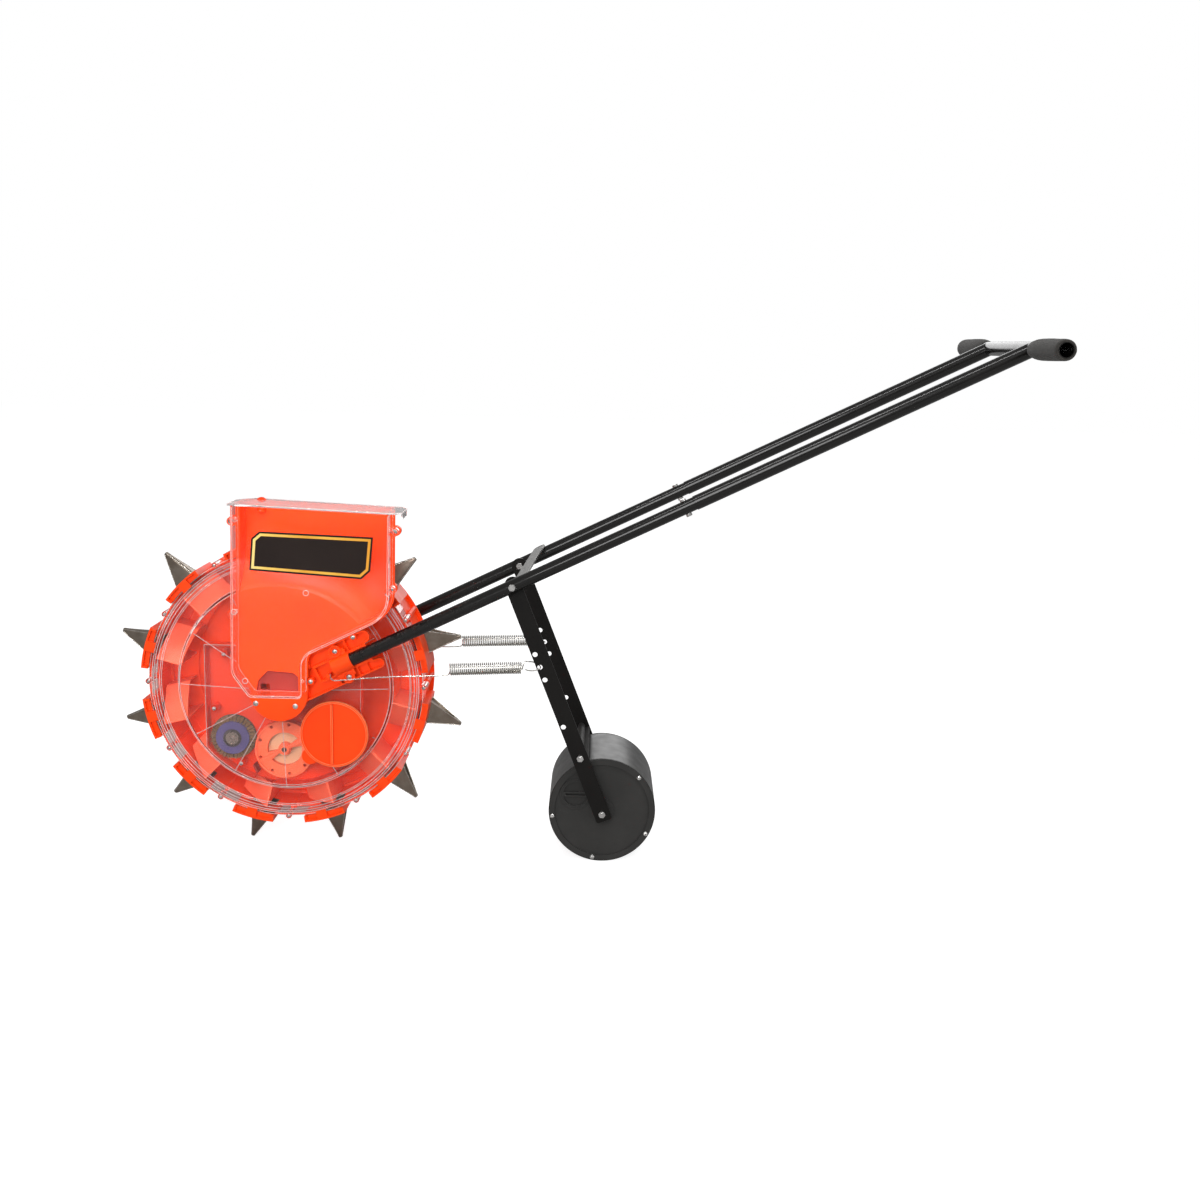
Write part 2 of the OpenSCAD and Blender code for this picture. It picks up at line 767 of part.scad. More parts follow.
module side_shell(seam, hub_end) {
    turned(concat([[bearing_r + 0.02, 85.5]], outer_face, [[rim_r, seam], [rim_r - rim_wall, seam]],
        inner_face, [[44, hub_end], [bearing_r + 0.02, hub_end]]));
}

// Places a copy at each of the ribs and rim screws, halfway between the beaks.
module each_rib() {
    for (i = [0:beak_count - 1]) rotate([0, i * pitch, 0]) children();
}

module beak_windows() {
    each_beak() translate([rim_r - 8, -13.1, -11.1]) cube([16, 26.2, 38.2]);
}

module rim_bosses(from, to) {
    each_rib() along_y(from, to) translate([boss_at, 0]) circle(4.6);
}

module rim_boss_holes(from, to) {
    each_rib() along_y(from, to) translate([boss_at, 0]) circle(1.6);
}

// Radial rib standing a little proud of the cover.
module cover_rib() {
    along_y(0, 100) translate([50, -0.8]) square([111, 1.6]);
}

module rib_layer() {
    turned([[50, 76], [60, 75.5], [110, 67], [150, 59.8], [161, 57.6], [161, 59.8], [150, 62],
        [110, 69.1], [60, 77.7], [50, 79.8]]);
}

// Clear near side of the wheel, with its ribs and the neck for the access cap.
module drum_cover() on_ground() color(clear) near_side() {
    difference() {
        union() {
            side_shell(-shell_seam + 0.05, 74);
            intersection() {
                rib_layer();
                each_rib() cover_rib();
            }
            difference() {
                at_xz(cap_pos, 0) along_y(40, cap_seat) circle(cap_neck_r);
                turned([[0, 0], [0, 90], [40, 90], [48, 77.6], [109.5, 66.5], [161, 57], [170, 40],
                    [170, 0]]);
            }
            rim_bosses(20, 50);
        }
        at_xz(cap_pos, 0) along_y(30, 100) circle(cap_neck_r - 2.5);
        rim_boss_holes(10, 51);
        beak_windows();
    }
}

// Orange far side of the wheel, with a web that carries the drive gear.
module drum_shell() on_ground() color(orange) {
    difference() {
        union() {
            side_shell(shell_seam, 66);
            along_y(66, 69) ring_2d(bearing_r + 3, 9.5);
            rim_bosses(-11.9, 50);
            along_y(44, 48) ring_2d(rim_r + 6, rim_r - 1);
        }
        rim_boss_holes(-20, 40);
        beak_windows();
    }
}

// Sloping floors that send each dropped seed to its own beak.
module seed_dividers() on_ground() color(orange) each_beak() {
    intersection() {
        along_y(-46, 46) ring_2d(204.5, divider_r);
        rotate([0, 90, 0]) linear_extrude(230) mirror([1, 0])
            polygon([[16, -45], [18.4, -45], [18.4, 40], [16, 40], [16, -38.5],
                [-30, 8], [-30, 40], [-32.4, 40], [-32.4, 6.6]]);
    }
}

// Holder: a band over the beak's flange with a tab over the cover's edge.
module beak_holder() {
    difference() {
        union() {
            along_y(-rim_half - 3, 24) intersection() {
                ring_2d(holder_r, rim_r + 0.3);
                polygon([[0, 0], polar(260, -8), polar(262, 0), polar(260, 9)]);
            }
            along_y(-rim_half - 3, -rim_half - 0.4) intersection() {
                ring_2d(218, 207);
                polygon([[0, 0], polar(260, -2.6), polar(260, 1.8)]);
            }
        }
        translate([200, -13.6, -11.6]) cube([40, 27.2, 40.6]);
        along_y(-rim_half - 4, -rim_half + 1.4) intersection() {
            ring_2d(holder_r - 3, rim_r);
            union() {
                polygon([[0, 0], polar(260, -7), polar(260, -2.6)]);
                polygon([[0, 0], polar(260, 1.8), polar(260, 8)]);
            }
        }
    }
}

module beak_holders() on_ground() color(orange) each_beak() beak_holder();

// Side outline of a beak in [radius, sideways], and its outline across the wheel.
function beak_side(t) = [
    [beak_base_r, 27 - t], [beak_base_r, t - 11], [beak_shoulder_r, t - 11],
    [tip_r - 2.4 * t, 0.4 * t], [beak_shoulder_r, 27 - t]
];
function beak_across(t) = [
    [beak_base_r - 1, 13 - t], [beak_shoulder_r, 13 - t], [tip_r - 2 * t, 1.6 - t * 0.4],
    [tip_r - 2 * t, t * 0.4 - 1.6], [beak_shoulder_r, t - 13], [beak_base_r - 1, t - 13]
];

module beak_solid(t) {
    intersection() {
        along_y(-20, 20) polygon(beak_side(t));
        linear_extrude(80, center = true) polygon(beak_across(t));
    }
}

// Folded sheet-steel beak, closed on its leading side and open where the flap sits.
module beak() {
    difference() {
        beak_solid(0);
        intersection() {
            beak_solid(sheet);
            translate([150, -20, -30]) cube([117, 40, 80]);
        }
        // Open side, mouth to the wheel and the flap pin's hole
        intersection() {
            linear_extrude(80, center = true) polygon(beak_across(sheet));
            along_y(-20, 20) polygon([[beak_base_r - 2, 20], [beak_shoulder_r, 24],
                [tip_r - 14, 4.8], [tip_r - 10, 20], [beak_base_r - 2, 40]]);
        }
        translate([beak_base_r - 2, sheet - 13, sheet - 11]) cube([6, 26 - 2 * sheet, 39]);
        along_y(-20, 20) translate(flap_hinge) circle(flap_pin_r + 0.1);
    }
}

module beaks() on_ground() color([0.45, 0.4, 0.36]) each_beak() beak();

module flap_pins() on_ground() color(steel) each_beak() {
    along_y(-13, 13) translate(flap_hinge) circle(flap_pin_r);
}

// Seed flap, hinged at the beak's shoulder and closing its open side.
module flap() {
    width = 10.9;
    difference() {
        union() {
            intersection() {
                along_y(-width, width) polygon([[216, 24.4], [219, 24.4], [tip_r - 16, 7.2],
                    [tip_r - 17.4, 6.4], [218, 22.6]]);
                linear_extrude(80, center = true) polygon(beak_across(sheet + 0.5));
            }
            along_y(-width, width) translate(flap_hinge) circle(flap_pin_r + 1.2);
        }
        along_y(-20, 20) translate(flap_hinge) circle(flap_pin_r + running_gap);
    }
}

module flap_at(i) on_ground() color([0.35, 0.32, 0.3]) at_beak(i) flap();
module flap_01() flap_at(0);
module flap_02() flap_at(1);
module flap_03() flap_at(2);
module flap_04() flap_at(3);
module flap_05() flap_at(4);
module flap_06() flap_at(5);
module flap_07() flap_at(6);
module flap_08() flap_at(7);
module flap_09() flap_at(8);
module flap_10() flap_at(9);
module flap_11() flap_at(10);
module flap_12() flap_at(11);

module rim_screws() on_ground() color(steel) near_side() {
    each_rib() translate([boss_at, 50.02, 0]) pan_screw(3, 1.5, 22);
}

module hub_bearings() on_ground() color(black) both_sides() {
    along_y(74, 85) ring_2d(bearing_r, journal_r + running_gap);
}

// Gear fixed to the wheel, with a sleeve around the axle to the far side's web.
module drive_gear() on_ground() color([0.15, 0.13, 0.12]) {
    difference() {
        union() {
            near_side() along_y(-gear_far, -gear_near) gear_2d(drive_teeth, metering_angle);
            along_y(gear_far, 65.95) circle(27);
        }
        along_y(gear_near - 1, 70) circle(axle_r + running_gap);
    }
}

// Cap over the opening through which the metering disc is changed.
module access_cap() on_ground() color(orange) near_side() at_xz(cap_pos, 0) {
    along_y(cap_seat + 0.1, cap_seat + 2.2) circle(cap_r);
    along_y(cap_seat + 2.2, cap_seat + 4.4) ring_2d(cap_r, cap_r - 2.6);
    along_y(cap_seat + 2.2, cap_seat + 5.4) {
        translate([-5, -48]) square([3, 96]);
    }
    along_y(cap_seat - 9, cap_seat + 0.1) ring_2d(cap_neck_r - 2.6, cap_neck_r - 5);
    along_y(cap_seat + 0.1, cap_seat + 2.6) difference() {
        rotate(224) translate([cap_r, 0]) circle(13);
        circle(cap_r);
    }
}

// ---------------------------------------------------------------- press roller

// Arm of the fork, round at its pivot and square at its foot.
module fork_arm_2d() {
    foot = fork_len + arm_foot;
    half = arm_w / 2;
    polygon(rounded([
        [-half, -half, arm_top_r], [foot, -half, arm_foot_r], [foot, half, arm_foot_r], [-half, half, arm_top_r]
    ]));
}

module fork_arm() {
    fork_plane() along_y(arm_inner, arm_outer) difference() {
        fork_arm_2d();
        circle(fork_bolt_r + running_gap);
        for (x = hole_row) translate([x, hole_offset]) circle(arm_hole_r);
        for (x = [cross_at, fork_len]) translate([x, 0]) circle(fork_bolt_r);
    }
}

module fork_arm_near() on_ground() color(black) near_side() fork_arm();
module fork_arm_far() on_ground() color(black) fork_arm();

// Cross bolt and roller axle, with their nuts and the axle's spacers.
module fork_bolts() on_ground() color(steel) fork_plane() {
    for (x = [cross_at, fork_len]) translate([x, 0, 0]) {
        along_y(-arm_outer - 5, arm_outer + 5) circle(fork_bolt_r - 0.03);
        both_sides() along_y(arm_outer + 0.02, arm_outer + 4.2) circle(fork_nut_r, $fn = 6);
    }
    translate([fork_len, 0, 0]) {
        along_y(-arm_inner + 0.05, arm_inner - 0.05) circle(roller_axle_r - 0.03);
        both_sides() along_y(roller_half + 0.6, arm_inner - 0.05) circle(spacer_r);
    }
}

module roller_scraper() on_ground() color([0.12, 0.12, 0.12]) fork_plane() {
    difference() {
        union() {
            along_y(-arm_inner + 0.05, arm_inner - 0.05) translate([cross_at + 4, -12]) square([2.5, 24]);
            along_y(-arm_inner + 0.05, arm_inner - 0.05) translate([cross_at, 0]) circle(6);
        }
        along_y(-arm_inner, arm_inner) translate([cross_at, 0]) circle(fork_bolt_r);
    }
}

// Where the spring's wire meets the bracket's pin and the fork's hole.
function pin_point() =
    let (a = handle_angle, u = spring_anchor[0], v = spring_anchor[1])
    [u * cos(a) - v * sin(a), spring_pin_d, u * sin(a) + v * cos(a) - 4];
function hole_point() =
    let (a = fork_angle, x = hole_row[1], y = hole_offset)
    [pivot[0] + x * sin(a) + y * cos(a), arm_outer + 2.5, pivot[1] - x * cos(a) + y * sin(a)];

// Extension springs from the side brackets to the fork.
module press_springs() on_ground() color(steel) both_sides() {
    difference() {
        rod(coil_start, coil_end, coil_r);
        rod(coil_start + [3, 0, 0], coil_end - [3, 0, 0], coil_r - 2.3);
    }
    rod(pin_point(), coil_start + [1.5, 0, 0], hook_r);
    rod(coil_end - [1.5, 0, 0], hole_point(), hook_r);
}

module roller_posts(r, from, to) {
    for (k = [0:4]) along_y(from, to) rotate(44 - 72 * k) translate([roller_r - 5, 0]) circle(r);
}

// Hollow ballast roller with a hub tube on a central web.
module press_roller() on_ground() color([0.16, 0.16, 0.17]) at_xz(roller_pos, 0) {
    difference() {
        union() {
            along_y(-roller_end, roller_end) ring_2d(roller_r, roller_r - 3);
            both_sides() roller_posts(4.4, roller_end - 12, roller_end);
            along_y(-2, 2) ring_2d(roller_r - 2.9, 11.9);
        }
        both_sides() roller_posts(2, roller_end - 11, roller_end + 1);
    }
    along_y(-roller_half, roller_half) ring_2d(12, roller_axle_r + running_gap);
}

// End caps of the roller with a raised rim, the near one with a filling hole.
module roller_end(hole) {
    difference() {
        union() {
            along_y(roller_end + 0.05, roller_end + 2.5) ring_2d(roller_r - 1, 12.05);
            along_y(roller_end + 0.05, roller_half - 1.2) ring_2d(roller_r, roller_r - 9.5);
            along_y(roller_end + 1, roller_half) ring_2d(roller_r - 1.2, roller_r - 9.5);
            along_y(roller_end + 1, roller_half - 0.5) ring_2d(19, 12.05);
            if (hole)
                along_y(roller_end + 1, roller_end + 3.6) translate(filler_at) circle(filler_r + 3);
        }
        roller_posts(2.1, roller_end - 1, roller_half + 1);
        if (hole)
            along_y(roller_end - 1, roller_half) translate(filler_at) circle(filler_r + 0.2);
        if (hole)
            along_y(roller_end + 3.6, roller_half + 1) translate(filler_at) circle(filler_r + 3.1);
    }
}

module roller_ends() on_ground() color([0.15, 0.15, 0.16]) at_xz(roller_pos, 0) {
    near_side() roller_end(true);
    roller_end(false);
}

module roller_screws() on_ground() color(steel) at_xz(roller_pos, 0) {
    both_sides() for (k = [0:4]) rotate([0, 72 * k - 44, 0])
        translate([roller_r - 5, roller_half + 0.02, 0]) pan_screw(3.6, 1.9, 12);
}

// Plug of the filling hole, with a grip bar across its recess.
module filler_cap() on_ground() color([0.15, 0.15, 0.16]) at_xz(roller_pos, 0) near_side()
translate([filler_at[0], 0, filler_at[1]]) {
    along_y(roller_end - 3, roller_end + 0.6) circle(filler_r);
    along_y(roller_end, roller_end + 3.4) ring_2d(filler_r, filler_r - 2.5);
    along_y(roller_end + 0.5, roller_end + 4.2) difference() {
        translate([-19.5, -4]) square([39, 8]);
        translate([-15.5, -1.4]) square([31, 2.8]);
    }
}

// ---------------------------------------------------------------- one node at a time

near_bracket();
far_bracket();
tube_clamps();
axle_rod();
lower_tube_near();
lower_tube_far();
upper_tube_near();
upper_tube_far();
handlebar();
grip_near();
grip_far();
tie_strap();
handle_bolts();
bracket_screws();
chamber_body();
chamber_cover();
chamber_screws();
seed_wiper();
hopper_back();
hopper_front();
hopper_screws();
hopper_label();
lid_pivot();
hopper_lid();
drum_cover();
drum_shell();
seed_dividers();
beak_holders();
beaks();
flap_pins();
rim_screws();
hub_bearings();
drive_gear();
access_cap();
flap_01();
flap_02();
flap_03();
flap_04();
flap_05();
flap_06();
flap_07();
flap_08();
flap_09();
flap_10();
flap_11();
flap_12();
metering_disc();
metering_gear();
brush_bristles();
brush_core();
brush_gear();
fork_arm_near();
fork_arm_far();
fork_bolts();
roller_scraper();
press_springs();
press_roller();
roller_ends();
roller_screws();
filler_cap();
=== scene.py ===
import json
import math
import random

import bmesh
import bpy
from mathutils import Matrix, Vector


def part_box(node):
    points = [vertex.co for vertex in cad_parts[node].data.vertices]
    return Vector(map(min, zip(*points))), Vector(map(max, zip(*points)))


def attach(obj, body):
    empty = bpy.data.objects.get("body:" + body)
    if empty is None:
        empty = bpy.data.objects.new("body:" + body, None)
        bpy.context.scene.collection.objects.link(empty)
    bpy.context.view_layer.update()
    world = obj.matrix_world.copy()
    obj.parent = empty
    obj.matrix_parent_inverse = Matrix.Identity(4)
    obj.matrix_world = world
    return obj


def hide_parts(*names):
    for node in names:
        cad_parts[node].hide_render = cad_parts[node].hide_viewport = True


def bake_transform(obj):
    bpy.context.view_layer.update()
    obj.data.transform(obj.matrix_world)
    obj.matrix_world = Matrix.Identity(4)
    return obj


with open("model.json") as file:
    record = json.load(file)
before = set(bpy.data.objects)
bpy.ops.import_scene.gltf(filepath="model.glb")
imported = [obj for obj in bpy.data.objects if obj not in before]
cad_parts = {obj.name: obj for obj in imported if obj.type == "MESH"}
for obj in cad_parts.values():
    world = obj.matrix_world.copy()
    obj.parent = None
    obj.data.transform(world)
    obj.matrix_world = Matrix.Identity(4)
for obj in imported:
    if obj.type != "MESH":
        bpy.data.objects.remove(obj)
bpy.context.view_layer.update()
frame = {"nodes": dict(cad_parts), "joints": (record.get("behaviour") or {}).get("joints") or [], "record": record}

MM = 0.001
JOINTS = {j["name"]: j for j in frame["joints"]}
AXLE = Vector(JOINTS["wheel_spin"]["pos_m"])
BRUSH = Vector(JOINTS["brush_spin"]["pos_m"])
METERING = Vector(JOINTS["metering_spin"]["pos_m"])


# ---------------------------------------------------------------- materials

class Nodes:
    """A material's node tree, with short calls to add and link nodes."""

    def __init__(self, name):
        self.material = bpy.data.materials.new(name)
        self.material.use_nodes = True
        self.tree = self.material.node_tree
        self.tree.nodes.clear()
        self.output = self.add("ShaderNodeOutputMaterial")
        self.position = self.add("ShaderNodeTexCoord").outputs["Object"]

    def add(self, kind, **settings):
        node = self.tree.nodes.new(kind)
        for key, value in settings.items():
            setattr(node, key, value)
        return node

    def link(self, source, target):
        self.tree.links.new(source, target)

    def scaled(self, scale):
        mapping = self.add("ShaderNodeMapping")
        mapping.inputs["Scale"].default_value = scale
        self.link(self.position, mapping.inputs["Vector"])
        return mapping.outputs["Vector"]

    def noise(self, scale, detail=3.0, roughness=0.5, stretch=None):
        node = self.add("ShaderNodeTexNoise")
        node.inputs["Scale"].default_value = scale
        node.inputs["Detail"].default_value = detail
        node.inputs["Roughness"].default_value = roughness
        self.link(self.scaled(stretch) if stretch else self.position, node.inputs["Vector"])
        return node.outputs["Fac"]

    def cells(self, scale):
        node = self.add("ShaderNodeTexVoronoi")
        node.inputs["Scale"].default_value = scale
        self.link(self.position, node.inputs["Vector"])
        return node.outputs["Distance"]

    def ramp(self, value, low, high, start=0.3, end=0.7):
        """Maps a value to one between low and high, numbers or colours."""
        if isinstance(low, (int, float)):
            node = self.add("ShaderNodeMapRange")
            limits = {"From Min": start, "From Max": end, "To Min": low, "To Max": high}
            for key, number in limits.items():
                node.inputs[key].default_value = number
            self.link(value, node.inputs["Value"])
            return node.outputs["Result"]
        node = self.add("ShaderNodeValToRGB")
        node.color_ramp.elements[0].position = start
        node.color_ramp.elements[1].position = end
        node.color_ramp.elements[0].color = (*low, 1)
        node.color_ramp.elements[1].color = (*high, 1)
        self.link(value, node.inputs["Fac"])
        return node.outputs["Color"]

    def math(self, kind, a, b=0.0):
        node = self.add("ShaderNodeMath", operation=kind)
        for socket, value in zip(node.inputs, (a, b)):
            if isinstance(value, (int, float)):
                socket.default_value = value
            else:
                self.link(value, socket)
        return node.outputs[0]

    def bump(self, height, depth, normal=None):
        node = self.add("ShaderNodeBump")
        node.inputs["Strength"].default_value = 1.0
        node.inputs["Distance"].default_value = depth
        self.link(height, node.inputs["Height"])
        if normal is not None:
            self.link(normal, node.inputs["Normal"])
        return node.outputs["Normal"]

    def bevel(self, radius):
        node = self.add("ShaderNodeBevel", samples=4)
        node.inputs["Radius"].default_value = radius
        return node.outputs["Normal"]

    def principled(self, **sockets):
        """A Principled shader. Keys are socket names with _ for a space."""
        shader = self.add("ShaderNodeBsdfPrincipled")
        for key, value in sockets.items():
            socket = shader.inputs[key.replace("_", " ")]
            if isinstance(value, bpy.types.NodeSocket):
                self.link(value, socket)
            elif isinstance(value, tuple) and len(value) == 3 and socket.type == "RGBA":
                socket.default_value = (*value, 1)
            else:
                socket.default_value = value
        return shader.outputs["BSDF"]

    def finish(self, shader):
        self.link(shader, self.output.inputs["Surface"])
        return self.material


def moulded(name, dark, light, roughness=(0.28, 0.4), grain=0.00003, grain_scale=1400, edge=0.0006, **more):
    """Injection-moulded plastic: slight colour drift, fine surface grain and softened edges."""
    n = Nodes(name)
    colour = n.ramp(n.noise(14, 4), dark, light)
    rough = n.ramp(n.noise(60, 5), *roughness)
    normal = n.bump(n.noise(grain_scale, 2), grain, n.bevel(edge))
    return n.finish(n.principled(Base_Color=colour, Roughness=rough, Normal=normal, **more))


def metal(name, dark, light, roughness=(0.2, 0.36), stretch=(1, 1, 1), scale=260, edge=0.0004, **more):
    """Plated or brushed metal: streaks along the stretched axis."""
    n = Nodes(name)
    streaks = n.noise(scale, 5, 0.6, stretch)
    colour = n.ramp(streaks, dark, light)
    rough = n.ramp(n.noise(scale * 0.4, 4, 0.6, stretch), *roughness)
    normal = n.bump(streaks, 0.00001, n.bevel(edge))
    return n.finish(n.principled(Base_Color=colour, Roughness=rough, Metallic=1.0, Normal=normal, **more))


def paint(name, colour, roughness, coat, peel=0.0000015):
    """Powder coat: a dark base under a glossy skin with a faint orange peel."""
    n = Nodes(name)
    shade = n.ramp(n.noise(30, 4), tuple(0.8 * c for c in colour), tuple(1.25 * c for c in colour))
    rough = n.ramp(n.noise(90, 4), *roughness)
    normal = n.bump(n.noise(500, 3), peel, n.bevel(0.0005))
    return n.finish(n.principled(Base_Color=shade, Roughness=rough, Normal=normal, Specular_IOR_Level=0.2,
                                 Coat_Weight=coat, Coat_Roughness=0.05))


def clear_plastic(name, tint, haze, gloss=0.5, ripple=0.000006):
    """Clear polycarbonate, faintly milky, that lets the lamps' light through."""
    n = Nodes(name)
    rough = n.ramp(n.noise(40, 5), 0.0, 0.012)
    milk = n.ramp(n.noise(9, 5), 1 - haze * 0.6, 1 - haze * 1.5)
    normal = n.bump(n.noise(35, 3), ripple)
    glass = n.principled(Base_Color=tint, Roughness=rough, Normal=normal, IOR=1.25,
                         Transmission_Weight=milk, Specular_IOR_Level=gloss)
    through = n.add("ShaderNodeBsdfTransparent")
    through.inputs["Color"].default_value = (*[c ** 0.5 for c in tint], 1)
    path = n.add("ShaderNodeLightPath")
    mix = n.add("ShaderNodeMixShader")
    n.link(path.outputs["Is Shadow Ray"], mix.inputs["Fac"])
    n.link(glass, mix.inputs[1])
    n.link(through.outputs["BSDF"], mix.inputs[2])
    return n.finish(mix.outputs["Shader"])


def arm_paint(name):
    """Matt black paint of the fork's flat bars."""
    return moulded(name, (0.0035, 0.003, 0.0026), (0.006, 0.0052, 0.0045), (0.4, 0.5),
                   Specular_IOR_Level=0.2)


def foam(name):
    """Closed-cell foam rubber of the grips."""
    n = Nodes(name)
    cells = n.cells(1500)
    lumps = n.noise(220, 4)
    colour = n.ramp(lumps, (0.013, 0.0115, 0.0098), (0.03, 0.0265, 0.0225))
    normal = n.bump(lumps, 0.0002, n.bump(cells, 0.00012))
    return n.finish(n.principled(Base_Color=colour, Roughness=0.92, Normal=normal,
                                 Sheen_Weight=0.12, Sheen_Roughness=0.5))


def wire(name):
    """Drawn spring wire, with slow changes of polish along it."""
    n = Nodes(name)
    colour = n.ramp(n.noise(300, 2), (0.5, 0.48, 0.44), (0.66, 0.64, 0.59))
    rough = n.ramp(n.noise(80, 2), 0.18, 0.28)
    return n.finish(n.principled(Base_Color=colour, Roughness=rough, Metallic=1.0))


def edge_glint_finish(name):
    """Whitish, half-clear beads along the moulded edges of the clear parts: painted highlights where those edges
    catch the light.
    """
    n = Nodes(name)
    colour = n.ramp(n.noise(30, 3), (1.0, 0.86, 0.83), (1.0, 0.95, 0.94))
    rough = n.ramp(n.noise(120, 3), 0.15, 0.3)
    return n.finish(n.principled(Base_Color=colour, Roughness=rough, Transmission_Weight=0.5, IOR=1.4))


# Whitish beads along the clear parts' edges: painted highlights.
EDGE_GLINT = edge_glint_finish("clear_edge_glint")
SPRING_WIRE = wire("spring_wire")
# Lighter steel of the beads along the beaks' edges: painted highlights.
BEAK_GLINT = metal("beak_glint_steel", (0.42, 0.38, 0.33), (0.62, 0.58, 0.52), scale=120)
DEEP_ORANGE = {"Specular_IOR_Level": 0.25, "Subsurface_Weight": 0.05, "Subsurface_Scale": 0.5,
               "Subsurface_Radius": (0.004, 0.001, 0.0003)}
OWN_FINISH = {
    "drum_cover": clear_plastic("clear_wheel_plastic", (0.985, 0.93, 0.92), 0.008, 0.5),
    "chamber_cover": clear_plastic("clear_chamber_plastic", (0.98, 0.93, 0.91), 0.006),
    "hopper_lid": clear_plastic("clear_lid_plastic", (0.98, 0.95, 0.945), 0.1, 1.0),
    "seed_dividers": moulded("pale_orange_plastic", (0.92, 0.12, 0.055), (0.96, 0.16, 0.085),
                             Specular_IOR_Level=0.3),
    "chamber_body": moulded("chamber_plastic", (0.74, 0.034, 0.002), (0.82, 0.044, 0.003), (0.4, 0.55),
                            Specular_IOR_Level=0.15),
    "metering_disc": moulded("peach_plastic", (0.93, 0.15, 0.06), (0.97, 0.19, 0.085),
                             Specular_IOR_Level=0.4),
    # The shell's faint emission is a painted glow: it brightens the drum's inside as though light came through the
    # plastic.
    "drum_shell": moulded("glowing_shell_plastic", (0.92, 0.052, 0.003), (0.96, 0.062, 0.0045), (0.35, 0.5),
                          Emission_Color=(1.0, 0.07, 0.006), Emission_Strength=0.1, **DEEP_ORANGE),
    "fork_arm_near": arm_paint("arm_paint_near"),
    "fork_arm_far": arm_paint("arm_paint_far"),
    "press_roller": moulded("roller_plastic", (0.02, 0.0195, 0.0185), (0.03, 0.029, 0.0275),
                            (0.32, 0.42), grain=0.00004, grain_scale=700),
}

MATERIALS = {
    "orange": moulded("orange_plastic", (0.9, 0.052, 0.002), (0.96, 0.063, 0.0035), **DEEP_ORANGE),
    "clear": clear_plastic("clear_plastic", (0.99, 0.95, 0.945), 0.002, 0.3),
    "zinc": metal("bright_zinc", (0.5, 0.49, 0.48), (0.72, 0.71, 0.69), stretch=(1, 0.2, 1)),
    "black_paint": paint("black_gloss_paint", (0.0042, 0.0037, 0.0033), (0.25, 0.33), 0.45),
    "foam": foam("grip_foam"),
    "beak_steel": metal("beak_steel", (0.24, 0.195, 0.155), (0.34, 0.29, 0.24),
                        (0.26, 0.38), scale=60),
    "flap_steel": metal("flap_steel", (0.2, 0.18, 0.165), (0.3, 0.275, 0.255), (0.3, 0.45), scale=60),
    "dark_plastic": moulded("charcoal_plastic", (0.018, 0.0175, 0.0165), (0.028, 0.027, 0.0255),
                            (0.5, 0.65), grain=0.00008, grain_scale=900, Specular_IOR_Level=0.35),
    "gear_plastic": moulded("black_nylon", (0.02, 0.018, 0.018), (0.035, 0.03, 0.03), (0.4, 0.55)),
    "bristle": moulded("bristle_nylon", (0.2, 0.115, 0.05), (0.42, 0.29, 0.15), (0.5, 0.7)),
    "brush_core": moulded("violet_plastic", (0.055, 0.05, 0.17), (0.09, 0.085, 0.25), (0.3, 0.45)),
    "brush_hub": metal("machined_steel", (0.36, 0.33, 0.3), (0.46, 0.43, 0.4), scale=150),
    # Dark red of the wiper slot, which paints the shade on the orange plate behind the seed window.
    "wiper": moulded("shade_red_plastic", (0.27, 0.011, 0.005), (0.37, 0.018, 0.009), (0.5, 0.7)),
    "label": moulded("label_film", (0.013, 0.0075, 0.0062), (0.017, 0.0105, 0.0085), (0.3, 0.4),
                     Specular_IOR_Level=0.2),
}

SLOT = {s["node"]: s["material_slot"] for s in frame["record"]["subparts"]}
for node, thing in frame["nodes"].items():
    thing.data.materials.clear()
    thing.data.materials.append(OWN_FINISH.get(node) or MATERIALS[SLOT[node]])


# ---------------------------------------------------------------- mesh helpers

def at(x, y, z):
    """A point given in millimetres from the axle, with X towards the handle and Z up."""
    return Vector((AXLE.x + x * MM, y * MM, AXLE.z + z * MM))


def piece(name, verts, faces, slot, body=None, stands_for=(), sharp=35, material=None):
    """A mesh piece with smooth shading that breaks at sharp edges. It moves with the CAD body."""
    mesh = bpy.data.meshes.new(name)
    mesh.from_pydata([tuple(v) for v in verts], [], faces)
    work = bmesh.new()
    work.from_mesh(mesh)
    bmesh.ops.remove_doubles(work, verts=work.verts, dist=1e-7)
    bmesh.ops.recalc_face_normals(work, faces=work.faces)
    work.to_mesh(mesh)
    work.free()
    mesh.polygons.foreach_set("use_smooth", [True] * len(mesh.polygons))
    mesh.set_sharp_from_angle(angle=math.radians(sharp))
    thing = bpy.data.objects.new(name, mesh)
    bpy.context.scene.collection.objects.link(thing)
    mesh.materials.append(material or MATERIALS[slot])
    if body:
        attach(thing, body)
    if stands_for:
        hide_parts(*stands_for)
    return thing


def grid_faces(rows, columns, wrap=True, first=0):
    """Quads between the rows of a grid of points, with each row closed into a loop or left open."""
    last = columns if wrap else columns - 1
    return [(first + i * columns + j, first + i * columns + (j + 1) % columns,
             first + (i + 1) * columns + (j + 1) % columns, first + (i + 1) * columns + j)
            for i in range(rows - 1) for j in range(last)]


def tube(points, radius, sides=8):
    """Vertices and faces of a round wire along a path, with flat ends."""
    rows = []
    along = (points[1] - points[0]).normalized()
    side = along.orthogonal().normalized()
    for i, point in enumerate(points):
        ahead = points[min(i + 1, len(points) - 1)] - points[max(i - 1, 0)]
        along = ahead.normalized()
        side = (side - along * side.dot(along)).normalized()
        up = along.cross(side)
        for k in range(sides):
            turn = 2 * math.pi * k / sides
            rows.append(point + radius * (math.cos(turn) * side + math.sin(turn) * up))
    faces = grid_faces(len(points), sides)
    last = (len(points) - 1) * sides
    faces += [tuple(range(sides - 1, -1, -1)), tuple(range(last, last + sides))]
    return rows, faces


